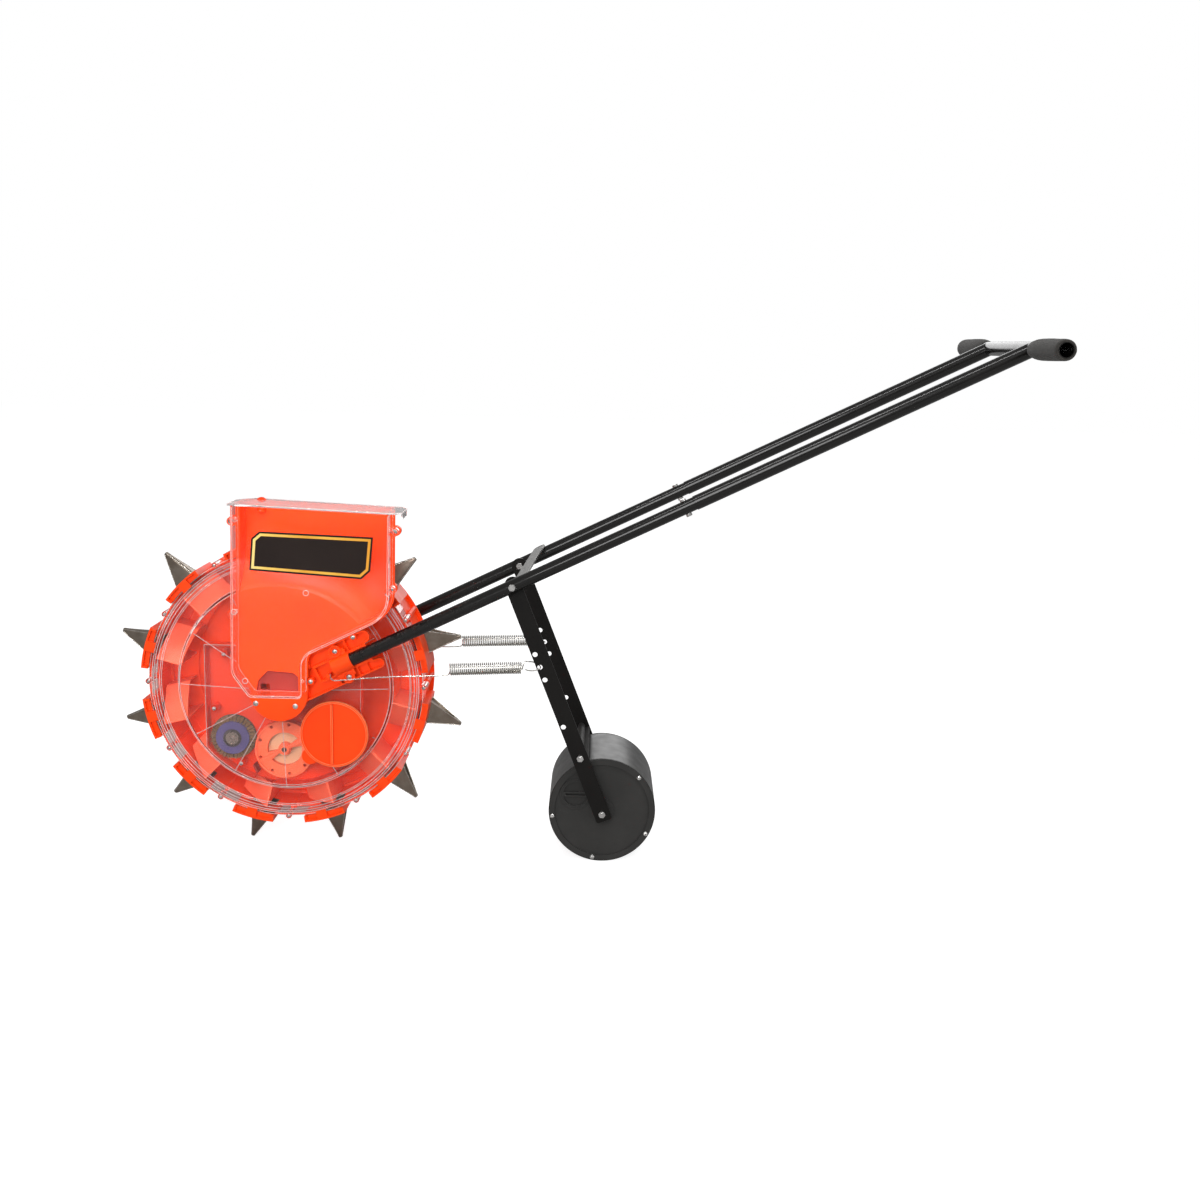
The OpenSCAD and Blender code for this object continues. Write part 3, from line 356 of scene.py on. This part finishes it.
def lathe(centre, profile, segments=96):
    """A closed ring whose section is a loop of (radius, y) in millimetres, about a line along Y."""
    verts = []
    for i in range(segments):
        turn = 2 * math.pi * i / segments
        for radius, y in profile:
            verts.append(centre + MM * Vector((radius * math.cos(turn), y, radius * math.sin(turn))))
    count = len(profile)
    faces = [(i * count + j, i * count + (j + 1) % count,
              (i + 1) % segments * count + (j + 1) % count, (i + 1) % segments * count + j)
             for i in range(segments) for j in range(count)]
    return verts, faces


def joined(parts):
    """One list of vertices and faces from several."""
    verts, faces = [], []
    for some_verts, some_faces in parts:
        first = len(verts)
        verts += some_verts
        faces += [tuple(first + i for i in face) for face in some_faces]
    return verts, faces


def catmull(points, steps=6):
    """A smooth path through the points."""
    path = []
    ends = [points[0] * 2 - points[1]] + points + [points[-1] * 2 - points[-2]]
    for a, b, c, d in zip(ends, ends[1:], ends[2:], ends[3:]):
        for k in range(steps):
            t = k / steps
            path.append(0.5 * (2 * b + (c - a) * t + (2 * a - 5 * b + 4 * c - d) * t * t
                               + (3 * b - a - 3 * c + d) * t ** 3))
    path.append(points[-1])
    return path


# ---------------------------------------------------------------- springs

COIL_START, COIL_END = (258, 98, 43), (368, 96, 48)
COIL_RADIUS, WIRE_RADIUS, COIL_TURNS = 8.6, 0.95, 36


def spring(side):
    """Extension spring with a long hooked wire to the bracket's pin and an eye in the fork's hole."""
    start, end = at(COIL_START[0], 0, COIL_START[2]), at(COIL_END[0], 0, COIL_END[2])
    start.y, end.y = side * COIL_START[1] * MM, side * COIL_END[1] * MM
    axis = (end - start).normalized()
    across = Vector((0, 1, 0)) - axis * axis.y
    across.normalize()
    up = axis.cross(across)
    if up.z < 0:
        up = -up

    def ring(t, turn, radius=COIL_RADIUS):
        return start + (end - start) * t + MM * radius * (math.cos(turn) * across + math.sin(turn) * up)

    low = -math.pi / 2
    hook = [at(79.5, side * 104.5, 33), at(80.3, side * 107, 27.5), at(85.5, side * 107.3, 23.6),
            at(100, side * 107, 24.6), at(168, side * 103, 30.2), at(248, side * 98, 33.3)]
    steps = 16 * COIL_TURNS
    coil = [ring(k / steps, low + 2 * math.pi * k / 16) for k in range(steps + 1)]
    eye = [at(371.5, side * 95, 56.5), at(377, side * 92.5, 56.8), at(385, side * 85, 54.5),
           at(392, side * 83.5, 50.5), at(395.6, side * 86.5, 47.6), at(394, side * 91.5, 46),
           at(387, side * 92.6, 43.2), at(379, side * 93.2, 43), at(373, side * 94.5, 45)]
    path = catmull(hook + coil[2:3], 5)[:-1] + coil[2:-4] + catmull([coil[-4]] + eye, 5)[1:]
    verts, faces = tube(path, WIRE_RADIUS * MM)
    thing = piece("spring_near" if side < 0 else "spring_far", verts, faces, "zinc", material=SPRING_WIRE)
    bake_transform(thing)
    return thing


springs = [spring(-1), spring(1)]
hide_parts("press_springs")


# ---------------------------------------------------------------- beaks

BEAK_COUNT = 12
BEAK_BASE, BEAK_SHOULDER, BEAK_TIP = 209.6, 221, 277
BEAK_HALF, BEAK_TIP_HALF = 13, 2.2
BEAK_APEX = 284
SPINE_SIDE, OPEN_SIDE = -11, 27
SHEET, GLINT_RADIUS = 1.3, 0.75


def beak_section(radius):
    """Half width, spine side and open side of a beak at a distance from the axle."""
    t = max(0, (radius - BEAK_SHOULDER) / (BEAK_TIP - BEAK_SHOULDER))
    reach = 1 - max(0, (radius - BEAK_SHOULDER) / (BEAK_APEX - BEAK_SHOULDER))
    return (BEAK_HALF + (BEAK_TIP_HALF - BEAK_HALF) * t, SPINE_SIDE * reach, OPEN_SIDE * reach)


def beak_shell(turn):
    """Folded sheet: near wall, rounded spine and far wall, open on the side of the flap."""
    out = Vector((math.cos(turn), 0, math.sin(turn)))
    ahead = Vector((-math.sin(turn), 0, math.cos(turn)))
    stations = [BEAK_BASE, 215, BEAK_SHOULDER, 230, 240, 250, 258, 264, 269]

    def loop(radius, inset):
        half, low, high = beak_section(radius)
        half -= inset
        low += inset
        fold = min(4.2, 0.62 * half, 0.3 * (high - low))
        fold = max(fold - inset, 0.3)
        arc = [math.pi / 2 * k / 6 for k in range(7)]
        path = [(high, -half), ((high + low) / 2, -half)]
        path += [(low + fold - fold * math.sin(a), -half + fold - fold * math.cos(a)) for a in arc]
        path += [(low + fold - fold * math.cos(a), half - fold + fold * math.sin(a)) for a in arc]
        path += [((high + low) / 2, half), (high, half)]
        return [AXLE + MM * (out * radius + ahead * s) + MM * Vector((0, y, 0)) for s, y in path]

    outer = [loop(r, 0) for r in stations]
    inner = [loop(r, SHEET) for r in stations]
    rows = [o + i[::-1] for o, i in zip(outer, inner)]
    count = len(rows[0])
    verts = [v for row in rows for v in row]
    faces = grid_faces(len(rows), count)
    half_count = count // 2
    for base in (0, (len(rows) - 1) * count):
        faces += [(base + j, base + j + 1, base + count - 2 - j, base + count - 1 - j)
                  for j in range(half_count - 1)]
    return verts, faces


def beak_point(turn):
    """Closed, rounded end of a beak, pressed shut beyond the flap."""
    out = Vector((math.cos(turn), 0, math.sin(turn)))
    ahead = Vector((-math.sin(turn), 0, math.cos(turn)))
    rows = []
    for radius, scale in ((263, 0.93), (265, 1.0), (268, 1.02), (271, 1.06), (273.5, 1.06), (274.9, 0.98),
                          (275.8, 0.75), (276.2, 0.35)):
        half, low, high = beak_section(min(radius, 273))
        middle, reach = (low + high) / 2, (high - low) / 2 * scale
        half *= scale
        for k in range(16):
            a = 2 * math.pi * k / 16
            s = middle + reach * math.copysign(abs(math.cos(a)) ** 0.7, math.cos(a))
            y = half * math.copysign(abs(math.sin(a)) ** 0.7, math.sin(a))
            rows.append(AXLE + MM * (out * radius + ahead * s) + MM * Vector((0, y, 0)))
    faces = grid_faces(8, 16)
    faces += [tuple(range(15, -1, -1)), tuple(range(7 * 16, 8 * 16))]
    return rows, faces


def beak_glints(turn):
    """Bright beads as painted highlights: one along each wall's open side, one along each spine fold, round the
    tip.
    """
    out = Vector((math.cos(turn), 0, math.sin(turn)))
    ahead = Vector((-math.sin(turn), 0, math.cos(turn)))
    glint_beads = []
    for side in (-1, 1):
        path = []
        for radius in (214, 221, 235, 250, 262, 270, 274):
            half, low, high = beak_section(radius)
            across = Vector((0, side * (half - 0.5), 0))
            path.append(AXLE + MM * (out * radius + ahead * (high - 0.3)) + MM * across)
        for radius in (275, 271, 262, 250, 235, 221, 214):
            half, low, high = beak_section(radius)
            across = Vector((0, side * (half - 0.35), 0))
            path.append(AXLE + MM * (out * radius + ahead * (low + 1.5)) + MM * across)
        glint_beads.append(tube(path, GLINT_RADIUS * MM, 6))
    return joined(glint_beads)


def beaks():
    turns = [math.radians(30 * i + 15) for i in range(BEAK_COUNT)]
    verts, faces = joined([make(turn) for turn in turns for make in (beak_shell, beak_point)])
    piece("beak_sheets", verts, faces, "beak_steel", "wheel", ["beaks"], sharp=40)
    verts, faces = joined([beak_glints(turn) for turn in turns])
    # The lighter beads paint highlight lines along the beaks' folds and edges.
    piece("beak_glints", verts, faces, "beak_steel", "wheel", material=BEAK_GLINT)


beaks()


# ---------------------------------------------------------------- brush

BRUSH_FACE = -50
TUFTS, STRANDS = 34, 22


def brush():
    """Tufts of bristle standing out of the violet ring, splayed a little at their ends."""
    rng = random.Random(5)
    parts = []
    for tuft in range(TUFTS):
        middle = 2 * math.pi * tuft / TUFTS
        for _ in range(STRANDS):
            root = middle + rng.uniform(-0.055, 0.055)
            tip = middle + (root - middle) * 1.35 + rng.uniform(-0.014, 0.014)
            y0, y1 = rng.uniform(-46, -39), rng.uniform(-46.6, -38.4)
            reach = rng.uniform(33.6, 35.4)
            a = BRUSH + MM * Vector((25.5 * math.cos(root), y0, 25.5 * math.sin(root)))
            b = BRUSH + MM * Vector((reach * math.cos(tip), y1, reach * math.sin(tip)))
            parts.append(tube([a, (a + b) / 2, b], rng.uniform(0.3, 0.42) * MM, 4))
    verts, faces = joined(parts)
    piece("brush_tufts", verts, faces, "bristle", "brush", ["brush_bristles"])


def brush_cap():
    """Turned hub of the brush: a ribbed bright ring and a centre screw."""
    base = BRUSH_FACE
    ribs = []
    for k in range(16):
        a = 2 * math.pi * k / 16
        p = BRUSH + MM * Vector((4.2 * math.cos(a), base - 0.3, 4.2 * math.sin(a)))
        q = BRUSH + MM * Vector((8.6 * math.cos(a), base - 0.1, 8.6 * math.sin(a)))
        ribs.append(tube([p, (p + q) / 2, q], 0.45 * MM, 6))
    rings = [lathe(BRUSH, [(8.4, base - 0.8), (10, base - 0.8), (10.3, base - 0.3), (10.3, base + 0.3),
                           (8.1, base + 0.3), (8.1, base - 0.4)], 64),
             lathe(BRUSH, [(2.0, base - 1.2), (3.4, base - 1.2), (4.2, base - 0.5), (4.2, base + 0.3),
                           (2.0, base + 0.3)], 48),
             lathe(BRUSH, [(0.01, base - 0.6), (1.5, base - 0.6), (1.9, base - 0.2), (1.9, base + 0.3),
                           (0.01, base + 0.3)], 32)]
    verts, faces = joined(ribs + rings)
    piece("brush_hub_face", verts, faces, "brush_hub", "brush")


def brush_collar():
    """Dark dished collar that stands in front of the brush's hub."""
    base = BRUSH_FACE
    verts, faces = lathe(BRUSH, [(10.5, base + 0.3), (10.5, base - 0.9), (11.0, base - 1.05),
                                 (14.3, base - 0.3), (14.3, base + 0.3)], 64)
    piece("brush_collar", verts, faces, "gear_plastic", "brush")


def brush_shadow_ring():
    """Dark ring behind the bristles: a painted shadow that darkens the gaps between the tufts."""
    verts, faces = lathe(BRUSH, [(26, -38.3), (35.2, -38.3), (35.7, -38.0), (35.7, -37.7), (26, -37.7)], 72)
    piece("brush_shadow_ring", verts, faces, "bristle", "brush", material=moulded(
        "shadow_olive_plastic", (0.035, 0.028, 0.014), (0.055, 0.044, 0.022), (0.5, 0.7)))


brush()
brush_cap()
brush_collar()
brush_shadow_ring()


def metering_plate():
    """Pale backing plate seen through the openings of the metering disc."""
    verts, faces = lathe(METERING, [(4.2, -36.9), (37, -36.9), (37.5, -36.4), (37.5, -35.6),
                                    (4.2, -35.6)], 72)
    piece("metering_plate", verts, faces, "bristle", "metering", material=moulded(
        "cream_plastic", (0.62, 0.4, 0.24), (0.72, 0.5, 0.32), Specular_IOR_Level=0.3))


metering_plate()


# ---------------------------------------------------------------- edges of the clear parts, as beads painted with highlights

BEAD = 0.5
RIM_RIDGES = [(162.6, 58.6), (166.5, 53.0), (192.4, 53.0), (194.4, 55.2), (199.5, 55.1), (203.6, 55.1),
              (206.6, 55.1), (212.2, 49.6)]
RIB_LINE = [(52, 79.5), (60, 77.9), (110, 69.3), (150, 62.2), (160.5, 60.1)]
RIB_COUNT = 12
CAP = Vector((80, -68))
CAP_CLEAR = 56
CAP_RIDGES = [(51.7, 84.1), (49.3, 84.2), (51.8, 80.4)]
CAP_GRIP, CAP_GRIP_FACE = (-4.7, -2.3), 85.2
HOPPER_CORNERS = [(-55.5, 289, 4), (-60.5, 38, 26), (-35, 2.5, 10), (42.5, 2.5, 5), (43, 65, 26),
                  (173.5, 130.7, 48), (174.5, 281.5, 4)]
HOPPER_FRONT, HOPPER_FOOT, HOPPER_WALL = 140, 103.9, 2.4
HOPPER_BEAD = 0.38
CHAMBER_SIDES, CHAMBER_TOP, CHAMBER_R, CHAMBER_FRONT = (-124.6, 115.6), 61.6, 161.1, 53.2
GATE_MARKS = [(52, 163), (-54, 132), (-40, 28)]
GATE_RING = [(3.4, -0.1), (3.6, 0.35), (4.2, 0.35), (4.5, -0.1)]
LID_SLOPE = math.atan2(-7.5, 230)
LID_OUTLINE = [(-30, 16), (-10, -11), (209, -4), (219, 8), (219, 58), (205, 72), (-33, 72), (-33, 20)]
LID_AT = (-27, 70)
LID_TOP = 2.7


def rounded_corner(before, corner, after, steps=8):
    """The arc that rounds one corner, from its point and radius and its two neighbours."""
    c, radius = Vector(corner[:2]), corner[2]
    p, n = (Vector(before[:2]) - c).normalized(), (Vector(after[:2]) - c).normalized()
    half = p.angle(n) / 2
    centre = c + (p + n).normalized() * radius / math.sin(half)
    reach = radius / math.tan(half)
    start, stop = c + p * reach - centre, c + n * reach - centre
    sweep = math.atan2(start.x * stop.y - start.y * stop.x, start.dot(stop))
    turn = math.atan2(start.y, start.x)
    turns = [turn + sweep * k / steps for k in range(steps + 1)]
    return [centre + radius * Vector((math.cos(a), math.sin(a))) for a in turns]


def hopper_edges():
    corners = HOPPER_CORNERS
    loop = []
    for i, corner in enumerate(corners):
        if 0 < i < len(corners) - 1:
            loop += rounded_corner(corners[i - 1], corner, corners[i + 1])
    outline = [Vector(corners[0][:2])] + loop + [Vector(corners[-1][:2])]
    middle = Vector((55, 150))
    beads = []
    lines = ((0.3, HOPPER_FRONT - 0.2), (HOPPER_WALL + 0.4, HOPPER_FRONT + 0.1), (0.2, HOPPER_FOOT))
    for inset, depth in lines:
        path = [p + (middle - p).normalized() * inset * 1.2 for p in outline]
        beads.append(tube([at(p.x, -depth, p.y) for p in path], HOPPER_BEAD * MM, 6))
    for x, z in GATE_MARKS:
        beads.append(lathe(at(x, 0, z), [(r, -HOPPER_FRONT - h) for r, h in GATE_RING], 32))
    verts, faces = joined(beads)
    # Beads in the whitish edge material: painted highlights along the hopper's edges and gate marks.
    piece("hopper_edges", verts, faces, "clear", "frame", material=EDGE_GLINT)


def chamber_edges():
    """Outline of the seed chamber's clear cover, traced by a bead painted as a highlight."""
    left, right = CHAMBER_SIDES
    start, stop = -math.acos(left / CHAMBER_R), -math.acos(right / CHAMBER_R)
    turns = [start + (stop - start) * k / 48 for k in range(49)]
    outline = [(left, CHAMBER_TOP)]
    outline += [(CHAMBER_R * math.cos(turn), CHAMBER_R * math.sin(turn)) for turn in turns]
    outline += [(right, CHAMBER_TOP), (left, CHAMBER_TOP)]
    verts, faces = tube([at(x, -CHAMBER_FRONT, z) for x, z in outline], HOPPER_BEAD * MM, 6)
    piece("chamber_edges", verts, faces, "clear", "frame", material=EDGE_GLINT)


def lid_edges():
    top_z = 289 + (LID_AT[0] + 58) * math.tan(LID_SLOPE)
    loop = []
    for x, out in LID_OUTLINE + LID_OUTLINE[:1]:
        along = LID_AT[0] + x * math.cos(LID_SLOPE) - LID_TOP * math.sin(LID_SLOPE)
        up = top_z + x * math.sin(LID_SLOPE) + LID_TOP * math.cos(LID_SLOPE)
        loop.append(at(along, -(LID_AT[1] + out), up))
    verts, faces = tube(loop, BEAD * MM, 6)
    # Bead in the whitish edge material: painted highlight round the lid's edge.
    piece("lid_edges", verts, faces, "clear", "lid", material=EDGE_GLINT)


def wheel_edges():
    beads = [lathe(AXLE, [(r + BEAD * math.cos(a), -d + BEAD * math.sin(a))
                          for a in [math.pi * k / 3 for k in range(6)]], 180) for r, d in RIM_RIDGES]
    for i in range(RIB_COUNT):
        turn = 2 * math.pi * i / RIB_COUNT
        run = []
        for r in range(52, 161, 4):
            d = next(d0 + (d1 - d0) * (r - r0) / (r1 - r0)
                     for (r0, d0), (r1, d1) in zip(RIB_LINE, RIB_LINE[1:]) if r <= r1)
            x, z = r * math.cos(turn), r * math.sin(turn)
            if (Vector((x, z)) - CAP).length > CAP_CLEAR:
                run.append(at(x, -d, z))
            elif len(run) > 1:
                beads.append(tube(run, BEAD * MM, 6))
                run = []
            else:
                run = []
        if len(run) > 1:
            beads.append(tube(run, BEAD * MM, 6))
    verts, faces = joined(beads)
    # Beads in the whitish edge material: painted highlights on the rim's ridges and the ribs.
    piece("wheel_edges", verts, faces, "clear", "wheel", material=EDGE_GLINT)


def cap_edges():
    """Raised edges of the access cap's rim and grip, painted lighter orange as highlights."""
    centre = at(CAP.x, 0, CAP.y)
    beads = [lathe(centre, [(r + BEAD * math.cos(a), -d + BEAD * math.sin(a))
                            for a in [math.pi * k / 3 for k in range(6)]], 120) for r, d in CAP_RIDGES]
    for x in CAP_GRIP:
        beads.append(tube([at(CAP.x + x, -CAP_GRIP_FACE, CAP.y + z) for z in (-47, 0, 47)], BEAD * MM, 6))
    verts, faces = joined(beads)
    piece("cap_edges", verts, faces, "orange", "cap", material=moulded(
        "highlight_orange", (0.98, 0.2, 0.06), (1.0, 0.28, 0.1), Specular_IOR_Level=0.5))


cap_edges()
hopper_edges()
chamber_edges()
lid_edges()
wheel_edges()


# ---------------------------------------------------------------- label

LABEL_OUTLINE = [(-14, 252.5), (-26, 242), (-30, 195), (133.5, 185.7), (146.5, 197.8), (151, 248)]
LABEL_FACE = 140.7


def inset_outline(outline, d):
    """The outline with each edge moved inwards by d. The outline runs anticlockwise."""
    moved = []
    for i, (x, z) in enumerate(outline):
        px, pz = outline[i - 1]
        nx, nz = outline[(i + 1) % len(outline)]
        a = Vector((x - px, z - pz)).normalized()
        b = Vector((nx - x, nz - z)).normalized()
        left_a, left_b = Vector((-a.y, a.x)), Vector((-b.y, b.x))
        step = (left_a + left_b) / (1 + left_a.dot(left_b))
        moved.append((x + d * step.x, z + d * step.y))
    return moved


def plate(outline, face_y, back_y):
    """A flat plate between two depths, in front of the near side."""
    count = len(outline)
    verts = [at(x, y, z) for y in (-face_y, -back_y) for x, z in outline]
    faces = [tuple(range(count)), tuple(range(2 * count - 1, count - 1, -1))]
    faces += [(j, (j + 1) % count, count + (j + 1) % count, count + j) for j in range(count)]
    return verts, faces


def band(outline, d0, d1, face_y, back_y):
    """A raised band that follows the outline between two insets."""
    outer, inner = inset_outline(outline, d0), inset_outline(outline, d1)
    count = len(outline)
    verts = [at(x, -y, z) for loop, y in ((outer, back_y), (outer, face_y), (inner, face_y), (inner, back_y))
             for x, z in loop]
    faces = [(k * count + j, k * count + (j + 1) % count,
              (k + 1) % 4 * count + (j + 1) % count, (k + 1) % 4 * count + j)
             for k in range(4) for j in range(count)]
    return verts, faces


def gold_ink():
    """Printed gold that deepens from pale on the left to amber on the right."""
    n = Nodes("gold_ink")
    split = n.add("ShaderNodeSeparateXYZ")
    n.link(n.position, split.inputs["Vector"])
    left, right = at(LABEL_OUTLINE[2][0], 0, 0).x, at(LABEL_OUTLINE[5][0], 0, 0).x
    across = n.ramp(split.outputs["X"], 0.0, 1.0, left, right)
    node = n.add("ShaderNodeValToRGB")
    stops = [(0.0, (0.95, 0.74, 0.27)), (0.12, (0.9, 0.6, 0.13)), (0.45, (0.74, 0.34, 0.03)),
             (0.62, (0.82, 0.45, 0.06)), (1.0, (0.76, 0.31, 0.02))]
    for _ in range(len(stops) - 2):
        node.color_ramp.elements.new(0.5)
    for element, (place, colour) in zip(node.color_ramp.elements, stops):
        element.position = place
        element.color = (*colour, 1)
    n.link(across, node.inputs["Fac"])
    rough = n.ramp(n.noise(200, 3), 0.3, 0.42)
    return n.finish(n.principled(Base_Color=node.outputs["Color"], Roughness=rough, Metallic=0.15))


def label():
    verts, faces = plate(LABEL_OUTLINE, LABEL_FACE - 0.12, LABEL_FACE - 0.67)
    piece("label_film", verts, faces, "label", "frame", ["hopper_label"])
    verts, faces = band(LABEL_OUTLINE, 2.8, 6.6, LABEL_FACE, LABEL_FACE - 0.3)
    piece("label_border", verts, faces, "label", "frame", material=gold_ink())


label()


# ---------------------------------------------------------------- grips

GRIP_BORE, GRIP_SIDES = 11.1, 40


def grip(side):
    """Foam grip, necked towards the tube, full in the middle and flat at its open end."""
    node = "grip_near" if side < 0 else "grip_far"
    low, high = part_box(node)
    inner, outer = (high.y, low.y) if side < 0 else (low.y, high.y)
    centre = Vector(((low.x + high.x) / 2, 0, (low.z + high.z) / 2))
    full = (high.x - low.x) / 2 * 0.995
    stations = [(0, 0.76), (0.01, 0.79), (0.05, 0.84), (0.12, 0.91), (0.2, 0.965), (0.3, 0.995), (0.45, 1.0),
                (0.6, 0.99), (0.75, 0.975), (0.88, 0.965), (0.95, 0.955), (0.985, 0.93), (1.0, 0.87)]
    rng = random.Random(11)
    rows = []
    for t, swell in stations + [(1.0, GRIP_BORE * MM / full), (0.0, GRIP_BORE * MM / full)]:
        for k in range(GRIP_SIDES):
            a = 2 * math.pi * k / GRIP_SIDES
            wobble = 1 + (rng.uniform(-0.006, 0.006) if 0.02 < t < 0.99 else 0)
            radius = min(full * swell * wobble, full)
            rows.append(Vector((centre.x + radius * math.cos(a), inner + (outer - inner) * t,
                                centre.z + radius * math.sin(a))))
    count = len(stations) + 2
    faces = [(i * GRIP_SIDES + j, i * GRIP_SIDES + (j + 1) % GRIP_SIDES,
              (i + 1) % count * GRIP_SIDES + (j + 1) % GRIP_SIDES, (i + 1) % count * GRIP_SIDES + j)
             for i in range(count) for j in range(GRIP_SIDES)]
    name = "foam_grip_near" if side < 0 else "foam_grip_far"
    thing = piece(name, rows, faces, "foam", "frame", [node], sharp=50)


grip(-1)
grip(1)


# ---------------------------------------------------------------- studio

WORLD_LIGHT = 0.36


def floor():
    mesh = bpy.data.meshes.new("floor")
    half = 12
    corners = [(-half, -half, 0), (half, -half, 0), (half, half, 0), (-half, half, 0)]
    mesh.from_pydata(corners, [], [(0, 1, 2, 3)])
    thing = bpy.data.objects.new("floor", mesh)
    bpy.context.scene.collection.objects.link(thing)
    n = Nodes("pale_floor")
    colour = n.ramp(n.noise(3, 3), (0.44, 0.44, 0.44), (0.46, 0.46, 0.46))
    path = n.add("ShaderNodeLightPath")
    glow = n.math("MULTIPLY", path.outputs["Is Camera Ray"], 0.83)
    mesh.materials.append(n.finish(n.principled(Base_Color=colour, Roughness=0.9, Specular_IOR_Level=0.2,
                                                Emission_Color=(1, 1, 1), Emission_Strength=glow)))


def lamp(name, place, aim, size, power, depth=None, mirrored=True):
    """An area lamp that the camera doesn't see: round, or a strip where a depth is given."""
    light = bpy.data.lights.new(name, "AREA")
    light.shape = "RECTANGLE" if depth else "DISK"
    light.size = size
    light.size_y = depth or size
    light.energy = power
    thing = bpy.data.objects.new(name, light)
    thing.location = place
    thing.rotation_euler = (Vector(aim) - Vector(place)).to_track_quat("-Z", "Y").to_euler()
    thing.visible_camera = False
    thing.visible_glossy = mirrored
    thing.visible_transmission = mirrored
    bpy.context.scene.collection.objects.link(thing)


def studio():
    world = bpy.data.worlds.new("studio")
    world.use_nodes = True
    tree = world.node_tree
    background = tree.nodes["Background"]
    background.inputs["Color"].default_value = (1, 1, 1, 1)
    path = tree.nodes.new("ShaderNodeLightPath")
    seen = tree.nodes.new("ShaderNodeMath")
    seen.operation = "MAXIMUM"
    tree.links.new(path.outputs["Is Camera Ray"], seen.inputs[0])
    tree.links.new(path.outputs["Is Transmission Ray"], seen.inputs[1])
    strength = tree.nodes.new("ShaderNodeMapRange")
    strength.inputs["To Min"].default_value = WORLD_LIGHT
    strength.inputs["To Max"].default_value = 1.0
    tree.links.new(seen.outputs[0], strength.inputs["Value"])
    tree.links.new(strength.outputs["Result"], background.inputs["Strength"])
    bpy.context.scene.world = world
    bpy.context.scene.view_settings.view_transform = "Standard"
    middle = (0, 0, 0.35)
    lamp("key", (-0.4, -3.2, 1.9), middle, 1.6, 52)
    lamp("side", (2.8, -2.0, 1.2), middle, 1.4, 18)
    lamp("low", (-1.4, -2.9, 0.35), (-0.4, 0, 0.25), 0.9, 26, mirrored=False)
    lamp("back", (0.4, 3.0, 1.5), middle, 2.0, 18)
    lamp("strip", (0.3, -0.9, 2.7), (0.3, 0, 0.5), 2.6, 26, 0.12)


def camera():
    yaw, pitch, roll = 0.34, 10.88, 1.52
    data = bpy.data.cameras.new("camera")
    data.lens = 40.31
    data.sensor_width = 36
    data.clip_end = 100
    thing = bpy.data.objects.new("camera", data)
    turn = (Matrix.Rotation(math.radians(-yaw), 4, "Z") @ Matrix.Rotation(math.radians(90 - pitch), 4, "X")
            @ Matrix.Rotation(math.radians(roll), 4, "Z"))
    thing.matrix_world = Matrix.Translation(AXLE + Vector((0.4715, -2.0744, 0.5357))) @ turn
    bpy.context.scene.collection.objects.link(thing)
    bpy.context.scene.camera = thing


floor()
studio()
camera()
